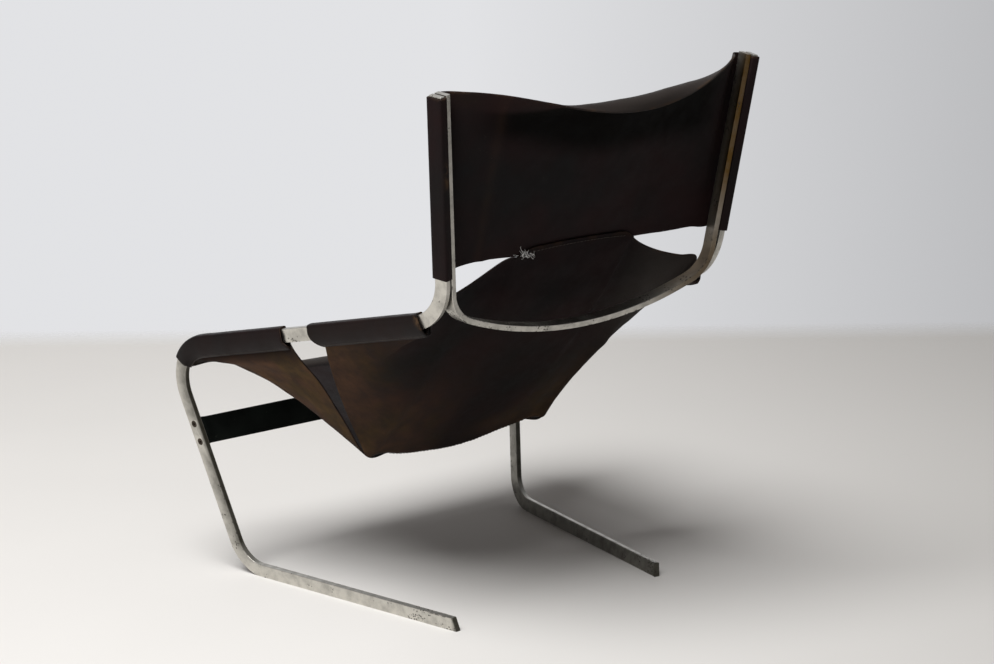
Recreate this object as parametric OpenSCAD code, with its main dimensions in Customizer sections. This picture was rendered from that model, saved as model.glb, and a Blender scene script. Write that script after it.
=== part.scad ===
// Cantilever lounge chair. Two bent flat-bar side frames are tied by a bow
// between the back posts and a crossbar between the front legs. They carry a
// sling of thick hide: a seat in two sheets and a back in one sheet.
// Sizes are millimetres. +Z is up, the sitter faces -Y, and the origin is on
// the floor under the middle of the chair. The sitter's left is +X.

/* [Flat bar] */
// Width of the flat bar
bar_w = 25; // [20:0.5:32]
// Thickness of the flat bar
bar_t = 10; // [8:0.5:12]

/* [Side frames] */
// Middle of the chair to the outer face at the foot corner
foot_half = 321.5; // [280:0.5:380]
// Angle by which the runners draw together towards the back
toe_in = 10; // [6:0.5:14]
// Angle by which the side frames lean outwards
splay = 8; // [4:0.5:12]
// Runner from its rear end to the foot corner
runner_l = 517; // [440:1:600]
// Front leg from the foot corner to the knee corner
leg_l = 422; // [380:1:460]
// Forward lean of the front leg
leg_lean = 16.4; // [12:0.1:20]
// Seat rail from the knee corner to the back corner
rail_l = 702; // [660:1:740]
// Slope of the seat rail, up towards the back
rail_slope = 12.8; // [9:0.1:16]
// Back post from the back corner to its top
post_l = 385; // [340:1:440]
// Recline of the back post
post_recline = 5.9; // [3:0.1:10]
// Bend radius at the foot, on the middle of the bar
foot_bend_r = 65; // [50:1:80]
// Bend radius at the knee
knee_bend_r = 88; // [75:1:100]
// Bend radius at the back corner
back_bend_r = 90; // [75:1:105]
// Slant of the runner's cut rear end
end_slant = 15; // [0:1:20]

/* [Crossbar] */
// Height of the crossbar between the front legs
crossbar_h = 50; // [40:1:60]
// Thickness of the crossbar
crossbar_t = 6; // [4:0.5:8]
// Foot corner to the middle of the crossbar, along the leg
crossbar_up = 258; // [200:1:280]
// Distance between the two screws in a lug
screw_pitch = 34; // [28:1:38]

/* [Back bow] */
// Height of the bow from its lowest point to its tops, along its own plane
bow_h = 435; // [380:1:460]
// Radius of the bow's long bottom arc
bow_sag_r = 734; // [600:2:900]
// Radius of the bow's two corners
bow_bend_r = 62; // [45:1:80]
// Post top to the upper screw of the bow
bow_screw_top = 45; // [30:1:70]
// Distance between the screws of the bow
bow_screw_pitch = 105; // [80:1:120]
// Screws on each side of the bow
bow_screw_count = 3; // [2:1:3]

/* [Screws] */
// Thread diameter of the countersunk screws
screw_d = 6; // [5:0.5:7]
// Diameter of the countersunk head
screw_head_d = 13; // [11:0.5:14]
// Height of the countersunk head
screw_head_h = 3.5; // [3:0.5:4]
// Width across the corners of the hexagon socket
socket_d = 4.6; // [3:0.1:5]
// Depth of the hexagon socket
socket_h = 2.2; // [1:0.1:2.6]
// Play round a screw in its hole
screw_play = 0.15; // [0.1:0.05:0.3]
// Play between two metal faces that are screwed together
metal_play = 0.1; // [0.05:0.05:0.2]

/* [Hide] */
// Thickness of the hide
hide_t = 3; // [2.5:0.1:3.5]
// Play between the hide and what it touches
hide_play = 0.3; // [0.2:0.05:0.5]
// Raw edge of a sleeve below the bar
sleeve_flap = 13; // [11:0.5:16]
// Stitch line of a sleeve below the bar
sleeve_seam = 9; // [7:0.5:10]
// Front end of the front sleeve ahead of the straight rail
front_sleeve_lead = 72; // [60:1:90]
// Length of the front sleeve along the rail
front_sleeve_l = 289; // [260:1:310]
// Length of the rear sleeve along its stitch line
rear_sleeve_l = 249; // [230:1:265]
// Rear end of the rear sleeve ahead of the straight post
rear_sleeve_tail = 98; // [90:1:110]
// Extra reach of the rear sleeve's rounded front corner at its top
rear_sleeve_lead = 21; // [10:1:30]
// Lower end of the back pockets above the start of the straight post
pocket_start = 9; // [5:1:20]
// Upper end of the back pockets below the post top
pocket_end = 3.5; // [2:0.5:10]
// Reach of the pocket's inner layer past the middle of the post
pocket_grip = 8; // [5:0.5:10]

/* [Seat] */
// Kink of the front edge, inwards from the sleeve
kink_in = 137; // [110:1:160]
// Kink of the front edge, ahead of the sleeve's front end
kink_ahead = 18; // [5:1:30]
// Kink of the front edge, below the sleeve's stitch line
kink_drop = 31.5; // [20:0.5:45]
// Drop of the front edge from its kinks to its middle
front_sag = 12; // [5:1:20]
// Crease tip, inwards from the front sleeve
tip_in = 144; // [130:1:160]
// Crease tip, behind the rear end of the front sleeve
tip_behind = 25.5; // [15:0.5:35]
// Crease tip, below the front sleeve's stitch line
tip_drop = 217; // [190:1:235]
// Drop of the crease from its tips to its middle
crease_sag = 7; // [3:1:12]
// Rise of the fold between flank and bottom of the front sheet
fold_rise = 12; // [5:1:18]
// Hang of the front sheet's bottom below straight lines
front_belly = 6; // [2:1:12]
// Swell of the rear sheet behind straight lines
rear_belly = 17; // [10:1:24]
// Forward bow of the rear sheet's notch edge
notch_bow = 13; // [5:1:18]

/* [Back] */
// Attachment of the back sheet, inwards from the bow's inner face
wing_step = 2.5; // [2:0.5:5]
// Middle of the lower edge ahead of its ends
low_ahead = 12; // [5:1:20]
// Middle of the lower edge below its ends
low_drop = 3.8; // [1:0.1:10]
// Hump of the lower edge on each side of its middle
low_hump = 39.6; // [30:0.1:50]
// Middle of the upper edge behind its ends
lip_back = 118; // [100:1:130]
// Middle of the upper edge below its ends
lip_drop = 51; // [40:1:60]
// Extra height of the upper edge's shoulders
lip_hump = 116; // [90:1:130]
// Forward hollow of the back sheet under its flared upper edge
lip_flare = 12; // [6:1:16]
// Half width of the tongue at the back sheet's lower edge
tongue_half = 128; // [115:1:140]
// Half width of the tongue's raw edge between its clipped corners
tongue_top_half = 106; // [95:1:112]
// Lap of the tongue over the back sheet at its middle
tongue_lap = 26; // [20:1:32]
// Lap of the tongue at its clipped corners
tongue_corner_lap = 15; // [12:1:20]
// Gap between the tongue and the back sheet that it laps over
tongue_gap = 1.2; // [1:0.1:2]

/* [Stitching] */
// Diameter of the waxed thread
thread_d = 1.2; // [0.8:0.1:1.6]
// Thread of a sleeve from the sleeve's ends
thread_inset = 8; // [4:1:15]
// Tongue's stitch line below its raw edge
tongue_seam = 7; // [5:1:9]

/* [Hidden] */
$fn = 48;

// A cutter reaches this far past the face that it cuts
overrun = 4;
// A cutter for a whole frame is this large
cutter = 1600;

steel = [0.72, 0.71, 0.68];
black_steel = [0.10, 0.11, 0.10];
dark_screw = [0.20, 0.15, 0.11];
hide = [0.17, 0.15, 0.15];
wax_thread = [0.42, 0.35, 0.27];

// Plane of the left side frame: rearwards, upwards and outwards
rearward = [-sin(toe_in), cos(toe_in), 0];
upward = [sin(splay) * cos(toe_in), sin(splay) * sin(toe_in), cos(splay)];
outward = [cos(splay) * cos(toe_in), cos(splay) * sin(toe_in), -sin(splay)];

// Middle line of the bar, from the runner's rear end to the post top
headings = [180, 90 + leg_lean, rail_slope, 90 - post_recline];
spans = [runner_l, leg_l, rail_l, post_l];
bend_rs = [foot_bend_r, knee_bend_r, back_bend_r];
last_straight = len(spans) - 1;
function dir2(a) = [cos(a), sin(a)];
function turn(i) = headings[i + 1] - headings[i];
function tangent_l(i) = i < 0 || i >= last_straight ? 0
    : bend_rs[i] * tan(abs(turn(i)) / 2);
foot_corner = [0, bar_w / 2 - bar_t * tan(splay)];
function corner(i) = i == 0 ? foot_corner - runner_l * dir2(headings[0])
    : corner(i - 1) + spans[i - 1] * dir2(headings[i - 1]);
function straight_l(i) = spans[i] - tangent_l(i - 1) - tangent_l(i);
function straight_start(i) = corner(i) + tangent_l(i - 1) * dir2(headings[i]);
function straight_end(i) = straight_start(i) + straight_l(i) * dir2(headings[i]);
function bend_l(i) = bend_rs[i] * abs(turn(i)) * PI / 180;
function bend_centre(i) = straight_end(i)
    + bend_rs[i] * dir2(headings[i] + 90 * sign(turn(i)));

// Place and heading on the bar's middle line at distance d from the rear end
// of the runner, where piece 0 is the runner, 1 the foot bend and so on
function piece_l(k) = k % 2 == 0 ? straight_l(k / 2) : bend_l((k - 1) / 2);
function on_straight(i, d) = [straight_start(i) + d * dir2(headings[i]), headings[i]];
function on_bend(i, d) =
    let (side = sign(turn(i)), swept = side * d / bend_rs[i] * 180 / PI)
    [bend_centre(i) - side * bend_rs[i] * dir2(headings[i] + 90 + swept),
        headings[i] + swept];
function on_line(d, k = 0) = d > piece_l(k) && k < 2 * last_straight
    ? on_line(d - piece_l(k), k + 1)
    : k % 2 == 0 ? on_straight(k / 2, d) : on_bend((k - 1) / 2, d);
function line_upto(k) = k < 0 ? 0 : piece_l(k) + line_upto(k - 1);
rail_start = line_upto(3);
post_start = line_upto(5);
post_top = line_upto(6);

// World place on the left bar: d along it, m across its width to the front or
// the top, n outwards from its outer face
function in_plane(h, v, n) = [foot_half, 0, 0] + h * rearward + v * upward
    + n * outward;
function on_bar(d, m, n) =
    let (p = on_line(d), q = p[0] + m * dir2(p[1] + 90))
    in_plane(q.x, q.y, n);

function lerp(a, b, t) = a + (b - a) * t;
function unit(v) = v / norm(v);
function swell(t) = 4 * t * (1 - t);
function bezier(p, t) = len(p) == 1 ? p[0]
    : bezier([for (i = [0:len(p) - 2]) lerp(p[i], p[i + 1], t)], t);
function raised(v, dz) = v + [0, 0, dz];
function flipped(v) = [-v.x, v.y, v.z];
function mirrored_row(row) = concat(row,
    [for (i = [len(row) - 2:-1:0]) flipped(row[i])]);

// Section of a sleeve round the bar as [m, n] on the middle of the hide, from
// the raw edge of its outer flap over the top of the bar to the stitch line
half_w = bar_w / 2;
wrap = hide_play + hide_t / 2;
wrap_diagonal_share = 0.75;
wrap_corner = wrap * wrap_diagonal_share;
hug = wrap * 2 / 3;
seam_n = bar_t / 2 + (hide_t + hide_play) / 2;
// The hide lies between post and bow, so the bow stands this far in
sandwich = hide_t + 2 * hide_play;
sleeve = [
    [-half_w - sleeve_flap, seam_n - bar_t],
    [-half_w - sleeve_seam, seam_n - bar_t],
    [-half_w - hug, wrap],
    [0, wrap],
    [half_w - hug, wrap],
    [half_w + wrap_corner, wrap_corner],
    [half_w + wrap, -hug],
    [half_w + wrap, hug - bar_t],
    [half_w + wrap_corner, -bar_t - wrap_corner],
    [half_w - hug, -bar_t - wrap],
    [0, -bar_t - wrap],
    [-half_w - hug, -bar_t - wrap]];
seam = [-half_w - sleeve_seam, -seam_n];

front_start = rail_start - front_sleeve_lead;
front_end = front_start + front_sleeve_l;
rear_end = post_start - rear_sleeve_tail;
rear_start = rear_end - rear_sleeve_l;
function at_seam(d) = on_bar(d, seam.x, seam.y);

// Corners of the seat on the sitter's left and on the middle
kink = at_seam(front_start) - [kink_in, kink_ahead, kink_drop];
front_mid = [0, kink.y, kink.z - front_sag];
crease_tip = at_seam(front_end) + [-tip_in, tip_behind, -tip_drop];
crease_mid = [0, crease_tip.y, crease_tip.z - crease_sag];
// Each sheet stops short of the crease line, so that their edges just part
crease_part_share = 0.45;
crease_part = hide_t * crease_part_share;

// Centre of the whole chair from front to back, which the origin takes
wing_n = 2 * bar_t + sandwich + wing_step;
search_steps = 60;
front_most = min([for (k = [0:search_steps])
    let (d = rail_start - bend_l(1) * k / search_steps,
        bare = on_bar(d, half_w, -bar_t).y,
        covered = on_bar(d, half_w + wrap + hide_t / 2, -bar_t).y)
    d < front_start ? bare : covered]);
lip_mid_y = on_bar(post_top - pocket_end, half_w + wrap, -wing_n).y + lip_back;
rear_most = lip_mid_y + hide_t / 2;
module placed() {
    translate([0, -(front_most + rear_most) / 2, 0])
        children();
}

// A sheet of thickness t about a grid of points on its middle surface
function clamp(i, n) = max(0, min(n - 1, i));
function step_dir(a, b) = norm(b - a) > 0 ? unit(b - a) : [0, 0, 0];
function run_dir(p, q, r) = step_dir(p, q) + step_dir(q, r);
function grid_normal(g, i, j) =
    let (nr = len(g), nc = len(g[0]), q = g[i][j])
    unit(cross(
        run_dir(g[clamp(i - 1, nr)][j], q, g[clamp(i + 1, nr)][j]),
        run_dir(g[i][clamp(j - 1, nc)], q, g[i][clamp(j + 1, nc)])));
module sheet(g, t) {
    nr = len(g);
    nc = len(g[0]);
    count = nr * nc;
    normals = [for (i = [0:nr - 1]) [for (j = [0:nc - 1]) grid_normal(g, i, j)]];
    points = [for (s = [1, -1]) for (i = [0:nr - 1]) for (j = [0:nc - 1])
        g[i][j] + s * t / 2 * normals[i][j]];
    function at(s, i, j) = s * count + i * nc + j;
    function quad(a, b, c, d) = [[a, b, c], [a, c, d]];
    faces = [
        for (i = [0:nr - 2]) for (j = [0:nc - 2])
            each quad(at(0, i, j), at(0, i, j + 1), at(0, i + 1, j + 1), at(0, i + 1, j)),
        for (i = [0:nr - 2]) for (j = [0:nc - 2])
            each quad(at(1, i, j), at(1, i + 1, j), at(1, i + 1, j + 1), at(1, i, j + 1)),
        for (j = [0:nc - 2]) each quad(at(0, 0, j), at(1, 0, j), at(1, 0, j + 1), at(0, 0, j + 1)),
        for (j = [0:nc - 2]) each quad(at(0, nr - 1, j + 1), at(1, nr - 1, j + 1),
            at(1, nr - 1, j), at(0, nr - 1, j)),
        for (i = [0:nr - 2]) each quad(at(0, i + 1, 0), at(1, i + 1, 0), at(1, i, 0), at(0, i, 0)),
        for (i = [0:nr - 2]) each quad(at(0, i, nc - 1), at(1, i, nc - 1),
            at(1, i + 1, nc - 1), at(0, i + 1, nc - 1))];
    polyhedron(points, faces);
}

// A run of rings of equal count, closed at both ends
module swept(rings) {
    n = len(rings[0]);
    last = len(rings) - 1;
    polyhedron([for (r = rings) each r], [
        [for (k = [n - 1:-1:0]) k],
        for (i = [0:last - 1]) for (k = [0:n - 1])
            let (a = i * n + k, b = i * n + (k + 1) % n)
            each [[a, b, b + n], [a, b + n, a + n]],
        [for (k = [0:n - 1]) last * n + k]]);
}
function path_dir(p, i) = unit(p[min(i + 1, len(p) - 1)] - p[max(i - 1, 0)]);
function thread_ring(c, t, d, sides) =
    let (u = unit(cross(t, abs(t.z) > abs(t.x) ? [1, 0, 0] : [0, 0, 1])), w = cross(t, u))
    [for (k = [0:sides - 1]) c + d / 2 * (u * cos(360 * k / sides) + w * sin(360 * k / sides))];
thread_sides = 6;
module thread(p) {
    color(wax_thread)
        swept([for (i = [0:len(p) - 1]) thread_ring(p[i], path_dir(p, i), thread_d, thread_sides)]);
}

// Drawing plane of a side frame: x rearwards, y upwards, z outwards, with the
// outer face of the bar at z = 0
module in_side_plane() {
    translate([foot_half, 0, 0])
        rotate([0, splay, toe_in])
            rotate([90, 0, 90])
                children();
}
module on_right() {
    mirror([1, 0, 0])
        children();
}

// Outline of the bent bar: a point at both ends, and steps round each bend
bend_steps = 24;
outline_stops = concat([0],
    [for (i = [0:last_straight - 1]) for (k = [0:bend_steps])
        line_upto(2 * i) + bend_l(i) * k / bend_steps],
    [post_top]);
function edge_point(d, m) =
    let (p = on_line(d))
    p[0] + m * dir2(p[1] + 90);
module bar_outline() {
    last = len(outline_stops) - 1;
    polygon(concat(
        [for (k = [0:last]) edge_point(outline_stops[k], bar_w / 2)],
        [for (k = [last:-1:0]) edge_point(outline_stops[k], -bar_w / 2)]));
}
function leg_point(s) = foot_corner + s * dir2(headings[1]);
module countersunk(play) {
    translate([0, 0, -screw_head_h])
        cylinder(h = screw_head_h, d1 = screw_d + 2 * play, d2 = screw_head_d + 2 * play);
}
module screw_bore(depth) {
    translate([0, 0, -depth])
        cylinder(h = depth + overrun, d = screw_d + 2 * screw_play);
    countersunk(screw_play);
}
module at_crossbar_screws() {
    for (s = [-1, 1]) {
        p = leg_point(crossbar_up + s * screw_pitch / 2);
        translate([p.x, p.y, 0])
            children();
    }
}
module at_bow_screws() {
    for (k = [0:bow_screw_count - 1]) {
        p = on_line(post_top - bow_screw_top - k * bow_screw_pitch)[0];
        translate([p.x, p.y, 0])
            children();
    }
}
module side_frame() {
    end = corner(0);
    color(steel)
        placed()
            difference() {
                in_side_plane()
                    difference() {
                        translate([0, 0, -bar_t])
                            linear_extrude(bar_t)
                                bar_outline();
                        at_crossbar_screws() screw_bore(bar_t + overrun);
                        at_bow_screws() screw_bore(bar_t + overrun);
                        translate([end.x, end.y - bar_w / 2, -bar_t - overrun])
                            rotate(end_slant)
                                translate([0, -bar_w, 0])
                                    cube([bar_w, 3 * bar_w, bar_t + 2 * overrun]);
                    }
                translate([-cutter / 2, -cutter / 2, -bar_w])
                    cube([cutter, cutter, bar_w]);
            }
}
module left_side_frame() side_frame();
module right_side_frame() on_right() side_frame();

module screw(length) {
    difference() {
        union() {
            countersunk(0);
            translate([0, 0, -length])
                cylinder(h = length - screw_head_h, d = screw_d);
        }
        translate([0, 0, -socket_h])
            cylinder(h = socket_h + overrun, d = socket_d, $fn = 6);
    }
}
module crossbar_screws() {
    color(dark_screw)
        placed()
            in_side_plane()
                at_crossbar_screws() screw(bar_t + metal_play + crossbar_t);
}
module left_crossbar_screws() crossbar_screws();
module right_crossbar_screws() on_right() crossbar_screws();

bow_bite = bar_t - screw_head_h;
module bow_screws() {
    color(dark_screw)
        placed()
            in_side_plane()
                at_bow_screws() screw(bar_t + sandwich + bow_bite);
}
module left_bow_screws() bow_screws();
module right_bow_screws() on_right() bow_screws();

// The crossbar's plate leans with the legs, with a lug on each leg
leg_dir = in_plane(dir2(headings[1]).x, dir2(headings[1]).y, 0) - in_plane(0, 0, 0);
plate_tilt = atan2(-leg_dir.y, leg_dir.z);
plate_h = crossbar_h * norm([leg_dir.y, leg_dir.z]);
module crossbar_lug() {
    p = leg_point(crossbar_up - crossbar_h / 2);
    in_side_plane()
        translate([p.x, p.y, -bar_t - metal_play - crossbar_t])
            rotate(headings[1] - 90)
                translate([-bar_w / 2, 0, 0])
                    cube([bar_w, crossbar_h, crossbar_t]);
}
module front_crossbar() {
    q = leg_point(crossbar_up) + bar_w / 2 * dir2(headings[1] + 90);
    c = in_plane(q.x, q.y, -bar_t);
    color(black_steel)
        placed()
            difference() {
                union() {
                    difference() {
                        translate([0, c.y, c.z])
                            rotate([plate_tilt, 0, 0])
                                translate([-cutter / 2, 0, -plate_h / 2])
                                    cube([cutter, crossbar_t, plate_h]);
                        for (side = [0, 1])
                            mirror([side, 0, 0])
                                in_side_plane()
                                    translate([-cutter / 2, -cutter / 2, -bar_t - metal_play])
                                        cube([cutter, cutter, cutter]);
                    }
                    crossbar_lug();
                    on_right() crossbar_lug();
                }
                for (side = [0, 1])
                    mirror([side, 0, 0])
                        in_side_plane()
                            at_crossbar_screws() screw_bore(bar_t + crossbar_t + overrun);
            }
}

// Bow in its own leaning plane: x across, q up the plane from its lowest point
post_dir = in_plane(dir2(headings[3]).x, dir2(headings[3]).y, 0) - in_plane(0, 0, 0);
bow_up = unit([0, post_dir.y, post_dir.z]);
bow_front = [0, -bow_up.z, bow_up.y];
arm_lean = atan2(post_dir.x, norm([post_dir.y, post_dir.z]));
bow_top = on_bar(post_top, 0, -bar_t * 3 / 2 - sandwich);
arm_front = unit(in_plane(dir2(headings[3] + 90).x, dir2(headings[3] + 90).y, 0)
    - in_plane(0, 0, 0));
fillet_reach = bow_sag_r - bow_bend_r;
fillet_from = asin((bow_top.x * cos(arm_lean) + (bow_sag_r - bow_h) * sin(arm_lean)
    - bow_bend_r) / fillet_reach) - arm_lean;
fillet_centre = [fillet_reach * sin(fillet_from), bow_sag_r - fillet_reach * cos(fillet_from)];
arm_foot = fillet_centre + bow_bend_r * [cos(arm_lean), -sin(arm_lean)];
bow_steps = 14;
corner_steps = 12;
arm_steps = 4;
// The flat bar twists from the bow's plane into the post's plane
twist_share = 0.55;
function bow_half() = concat(
    [for (k = [0:bow_steps])
        let (a = fillet_from * k / bow_steps)
        [bow_sag_r * sin(a), bow_sag_r - bow_sag_r * cos(a), a]],
    [for (k = [1:corner_steps])
        let (a = lerp(fillet_from, 90 - arm_lean, k / corner_steps))
        [fillet_centre.x + bow_bend_r * sin(a), fillet_centre.y - bow_bend_r * cos(a), a]],
    [for (k = [1:arm_steps])
        let (p = lerp(arm_foot, [bow_top.x, bow_h], k / arm_steps))
        [p.x, p.y, 90 - arm_lean]]);
function twist_at(p) =
    let (s = (p.x / arm_foot.x - twist_share) / (1 - twist_share), t = max(0, min(1, s)))
    t * t * (3 - 2 * t);
function bow_ring(p) =
    let (along = [cos(p[2]), 0, 0] + sin(p[2]) * bow_up,
        raw = lerp(bow_front, arm_front, twist_at(p)),
        wide = unit(raw - (raw * along) * along),
        thick = cross(along, wide),
        c = [p.x, bow_top.y, bow_top.z] + (p.y - bow_h) * bow_up)
    [for (q = [[1, 1], [-1, 1], [-1, -1], [1, -1]])
        c + q.x * bar_w / 2 * wide + q.y * bar_t / 2 * thick];
module back_bow() {
    half = bow_half();
    n = len(half) - 1;
    right = [for (k = [n:-1:1]) [for (q = bow_ring(half[k])) flipped(q)]];
    left = [for (k = [0:n]) bow_ring(half[k])];
    color(steel)
        placed()
            difference() {
                swept(concat(right, left));
                for (side = [0, 1])
                    mirror([side, 0, 0])
                        in_side_plane()
                            at_bow_screws()
                                translate([0, 0, -bar_t - sandwich - bow_bite - screw_play])
                                    cylinder(h = bow_bite + overrun, d = screw_d + 2 * screw_play);
            }
}

// Front seat sheet: sleeves, flanks that run in to the folds, and a bottom
bend_rows = 8;
rail_rows = 6;
flank_steps = 3;
bottom_steps = 4;
// Rows lie closer together where the sleeve goes round the knee bend
front_stops = concat(
    [for (k = [0:bend_rows - 1]) lerp(front_start, rail_start, k / bend_rows)],
    [for (k = [0:rail_rows]) lerp(rail_start, front_end, k / rail_rows)]);
module front_seat_sheet() {
    last = len(front_stops) - 1;
    g = [for (i = [0:last])
        let (d = front_stops[i],
            v = (d - front_start) / front_sleeve_l,
            a = at_seam(d),
            back_off = [0, i == last ? -crease_part : 0, 0],
            fold = raised(lerp(kink, crease_tip, v), fold_rise * swell(v)) + back_off,
            mid = lerp(front_mid, crease_mid, v) + back_off,
            half = concat(
                [for (q = sleeve) on_bar(d, q.x, q.y)],
                [for (k = [0:flank_steps]) lerp(a, fold, k / flank_steps)],
                [for (k = [1:bottom_steps])
                    let (s = k / bottom_steps, q = lerp(fold, mid, s))
                    [q.x, q.y, fold.z + (mid.z - fold.z) * (1 - (1 - s) * (1 - s))
                        - front_belly * swell(v) * s]]))
        mirrored_row(half)];
    color(hide)
        placed() sheet(g, hide_t);
}

// Back sheet: u runs from the middle to the wing, w from lower to upper edge
pocket_low = post_start + pocket_start;
pocket_high = post_top - pocket_end;
function wing(d) = on_bar(d, half_w + wrap, -wing_n);
low_end = wing(pocket_low);
lip_end = wing(pocket_high);
low_round_share = 0.46;
lip_round_share = 0.60;
function edge_curve(end, mid, round_share, hump, u) =
    let (u2 = u * u, u4 = u2 * u2)
    [end.x * u,
        mid.y + (end.y - mid.y) * (round_share * u2 + (1 - round_share) * u4),
        mid.z + (end.z - mid.z) * u4 + hump * (u2 - u4)];
function low_edge(u) = edge_curve(low_end, low_end - [0, low_ahead, low_drop],
    low_round_share, low_hump, u);
function lip_edge(u) = edge_curve(lip_end, lip_end + [0, lip_back, -lip_drop],
    lip_round_share, lip_hump, u);
// The hollow is deepest at three quarters of the height
function hollow(w) = w * w * w * (1 - w) * 256 / 27;
function back_at(u, w) = lerp(low_edge(u), lip_edge(u), w)
    - [0, lip_flare * hollow(w) * (1 - u * u), 0];
// Half width at the lower edge gives u; the lap goes up the sheet from there
function behind_back(x, lap) =
    let (u = x / low_end.x, a = low_edge(u), b = back_at(u, 1 / 4),
        up = unit(b - a), side = unit(low_edge(u + 0.01) - low_edge(u - 0.01)))
    a + lap * up - (hide_t + tongue_gap) * unit(cross(side, up));
pocket = [
    [half_w + wrap, -2 * bar_t - sandwich + hug],
    [half_w + wrap, -bar_t - sandwich / 2],
    [half_w + wrap, -hug],
    [half_w + wrap_corner, wrap_corner],
    [half_w - hug, wrap],
    [0, wrap],
    [hug - half_w, wrap],
    [-half_w - wrap_corner, wrap_corner],
    [-half_w - wrap, -hug],
    [-half_w - wrap, hug - bar_t],
    [-half_w - wrap_corner, -bar_t - wrap_corner],
    [hug - half_w, -bar_t - wrap],
    [pocket_grip, -bar_t - wrap]];
back_rows = 12;
back_steps = 9;
module back_sheet() {
    n = len(pocket) - 1;
    g = [for (i = [0:back_rows])
        let (w = i / back_rows, d = lerp(pocket_low, pocket_high, w),
            half = concat(
                [for (k = [n:-1:0]) on_bar(d, pocket[k].x, pocket[k].y)],
                [for (k = [0:back_steps]) back_at(1 - k / back_steps, w)]))
        mirrored_row(half)];
    color(hide)
        placed()
            difference() {
                sheet(g, hide_t);
                for (side = [0, 1])
                    mirror([side, 0, 0])
                        in_side_plane()
                            at_bow_screws()
                                translate([0, 0, -bar_t - sandwich])
                                    cylinder(h = sandwich, d = screw_d + 2 * hide_play);
            }
}

// Rear seat sheet: sleeves, flanks, and a back that ends in the tongue.
// Its upper corner lies inside the rail, this far behind the sleeve's end and
// above the middle of the bar
corner_reach = 24;
corner_m = 8;
// Gap between the corner and the sleeve's inner layer
corner_clear = 1.2;
web_n = bar_t + wrap + hide_t + corner_clear;
// The fold that leads from the stitch line to the corner
fold_out = 3;
fold_in = 5;
// The top edge is turned up over this height
hem = 8;
// Side edge leaves the tongue outwards, forwards and downwards
tongue_out = 14;
tongue_fwd = 25;
tongue_down = 4;
// Side edge leaves the corner inwards, forwards and upwards
rail_lead_in = 125;
rail_lead_fwd = 16;
rail_lead_up = 9;
rail_corner = on_bar(rear_end + corner_reach, corner_m, -web_n);
tongue_foot = behind_back(tongue_half, 0);
side_edge = [tongue_foot, tongue_foot + [tongue_out, -tongue_fwd, -tongue_down],
    rail_corner + [-rail_lead_in, -rail_lead_fwd, rail_lead_up], rail_corner];
rear_rows = 8;
rear_stops = [for (k = [0:rear_rows]) lerp(rear_start, rear_end, k / rear_rows)];
rear_flank_steps = 5;
edge_steps = 6;
tongue_steps = 4;
// Share of the side edge that the flank takes
flank_edge_share = 0.3;
module rear_seat_sheet() {
    a1 = at_seam(rear_end);
    top = concat(
        [a1, on_bar(rear_end, seam.x - fold_out, -seam_n - fold_in),
            on_bar(rear_end, seam.x + fold_out, -web_n),
            on_bar(rear_end + corner_reach / 2, 0, -web_n), rail_corner],
        [for (k = [1:rear_flank_steps - 2])
            bezier(side_edge, 1 - flank_edge_share * k / (rear_flank_steps - 2))],
        [for (k = [1:edge_steps])
            bezier(side_edge, (1 - flank_edge_share) * (1 - k / edge_steps))],
        [for (k = [1:tongue_steps])
            let (x = k == 1 ? tongue_top_half : tongue_top_half * (1 - (k - 1) / (tongue_steps - 1)),
                s = x / tongue_top_half)
            behind_back(x, lerp(tongue_lap, tongue_corner_lap, s * s))]);
    flank_n = rear_flank_steps + 2;
    across_n = edge_steps + tongue_steps;
    tongue_from = len(top) - tongue_steps;
    a0 = at_seam(rear_start);
    tip = crease_tip + [0, crease_part, 0];
    bottom = concat(
        [for (k = [0:flank_n])
            lerp(a0, tip, k / flank_n) - [0, notch_bow * swell(k / flank_n), 0]],
        [for (k = [1:across_n])
            let (s = k / across_n)
            [tip.x * (1 - s), tip.y, tip.z - crease_sag * (1 - (1 - s) * (1 - s))]]);
    // Line where the sheet passes under the back sheet's lower edge
    under = [for (j = [0:len(top) - 1]) j < tongue_from
        ? top[j] - hem * step_dir(bottom[j], top[j])
        : behind_back(top[j].x, 0)];
    g = [for (i = [0:rear_rows + 1])
        let (v = min(1, i / rear_rows),
            d = i > rear_rows ? rear_end : lerp(rear_start, rear_end - hem, v),
            half = concat(
                [for (q = sleeve)
                    let (reach = sin(90 * min(1, (q.x + half_w + sleeve_flap) / bar_w)))
                    on_bar(d - rear_sleeve_lead * reach * (1 - v), q.x, q.y)],
                [for (j = [0:len(top) - 1])
                    let (fade = min(1, j / flank_n),
                        out = j == 0 ? 0 : rear_belly * swell(v) * fade)
                    j == 0 ? at_seam(d)
                        : i > rear_rows ? top[j]
                        : lerp(bottom[j], under[j], v) + out * unit([0, 4, -3])]))
        mirrored_row(half)];
    color(hide)
        placed() sheet(g, hide_t);
}

// Threads lie on the hide, just clear of it
thread_off = hide_t / 2 + hide_play + thread_d / 2;
thread_m = seam.x - hide_t / 2;
thread_steps = 16;
module sleeve_thread(stops) {
    last = len(stops) - 1;
    ends = concat([stops[0] + thread_inset], [for (k = [1:last - 1]) stops[k]],
        [stops[last] - thread_inset]);
    thread([for (d = ends) on_bar(d, thread_m, seam_n - bar_t + thread_off)]);
}
module left_front_sleeve_thread() placed() sleeve_thread(front_stops);
module right_front_sleeve_thread() on_right() left_front_sleeve_thread();
module left_rear_sleeve_thread() placed() sleeve_thread(rear_stops);
module right_rear_sleeve_thread() on_right() left_rear_sleeve_thread();

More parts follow.
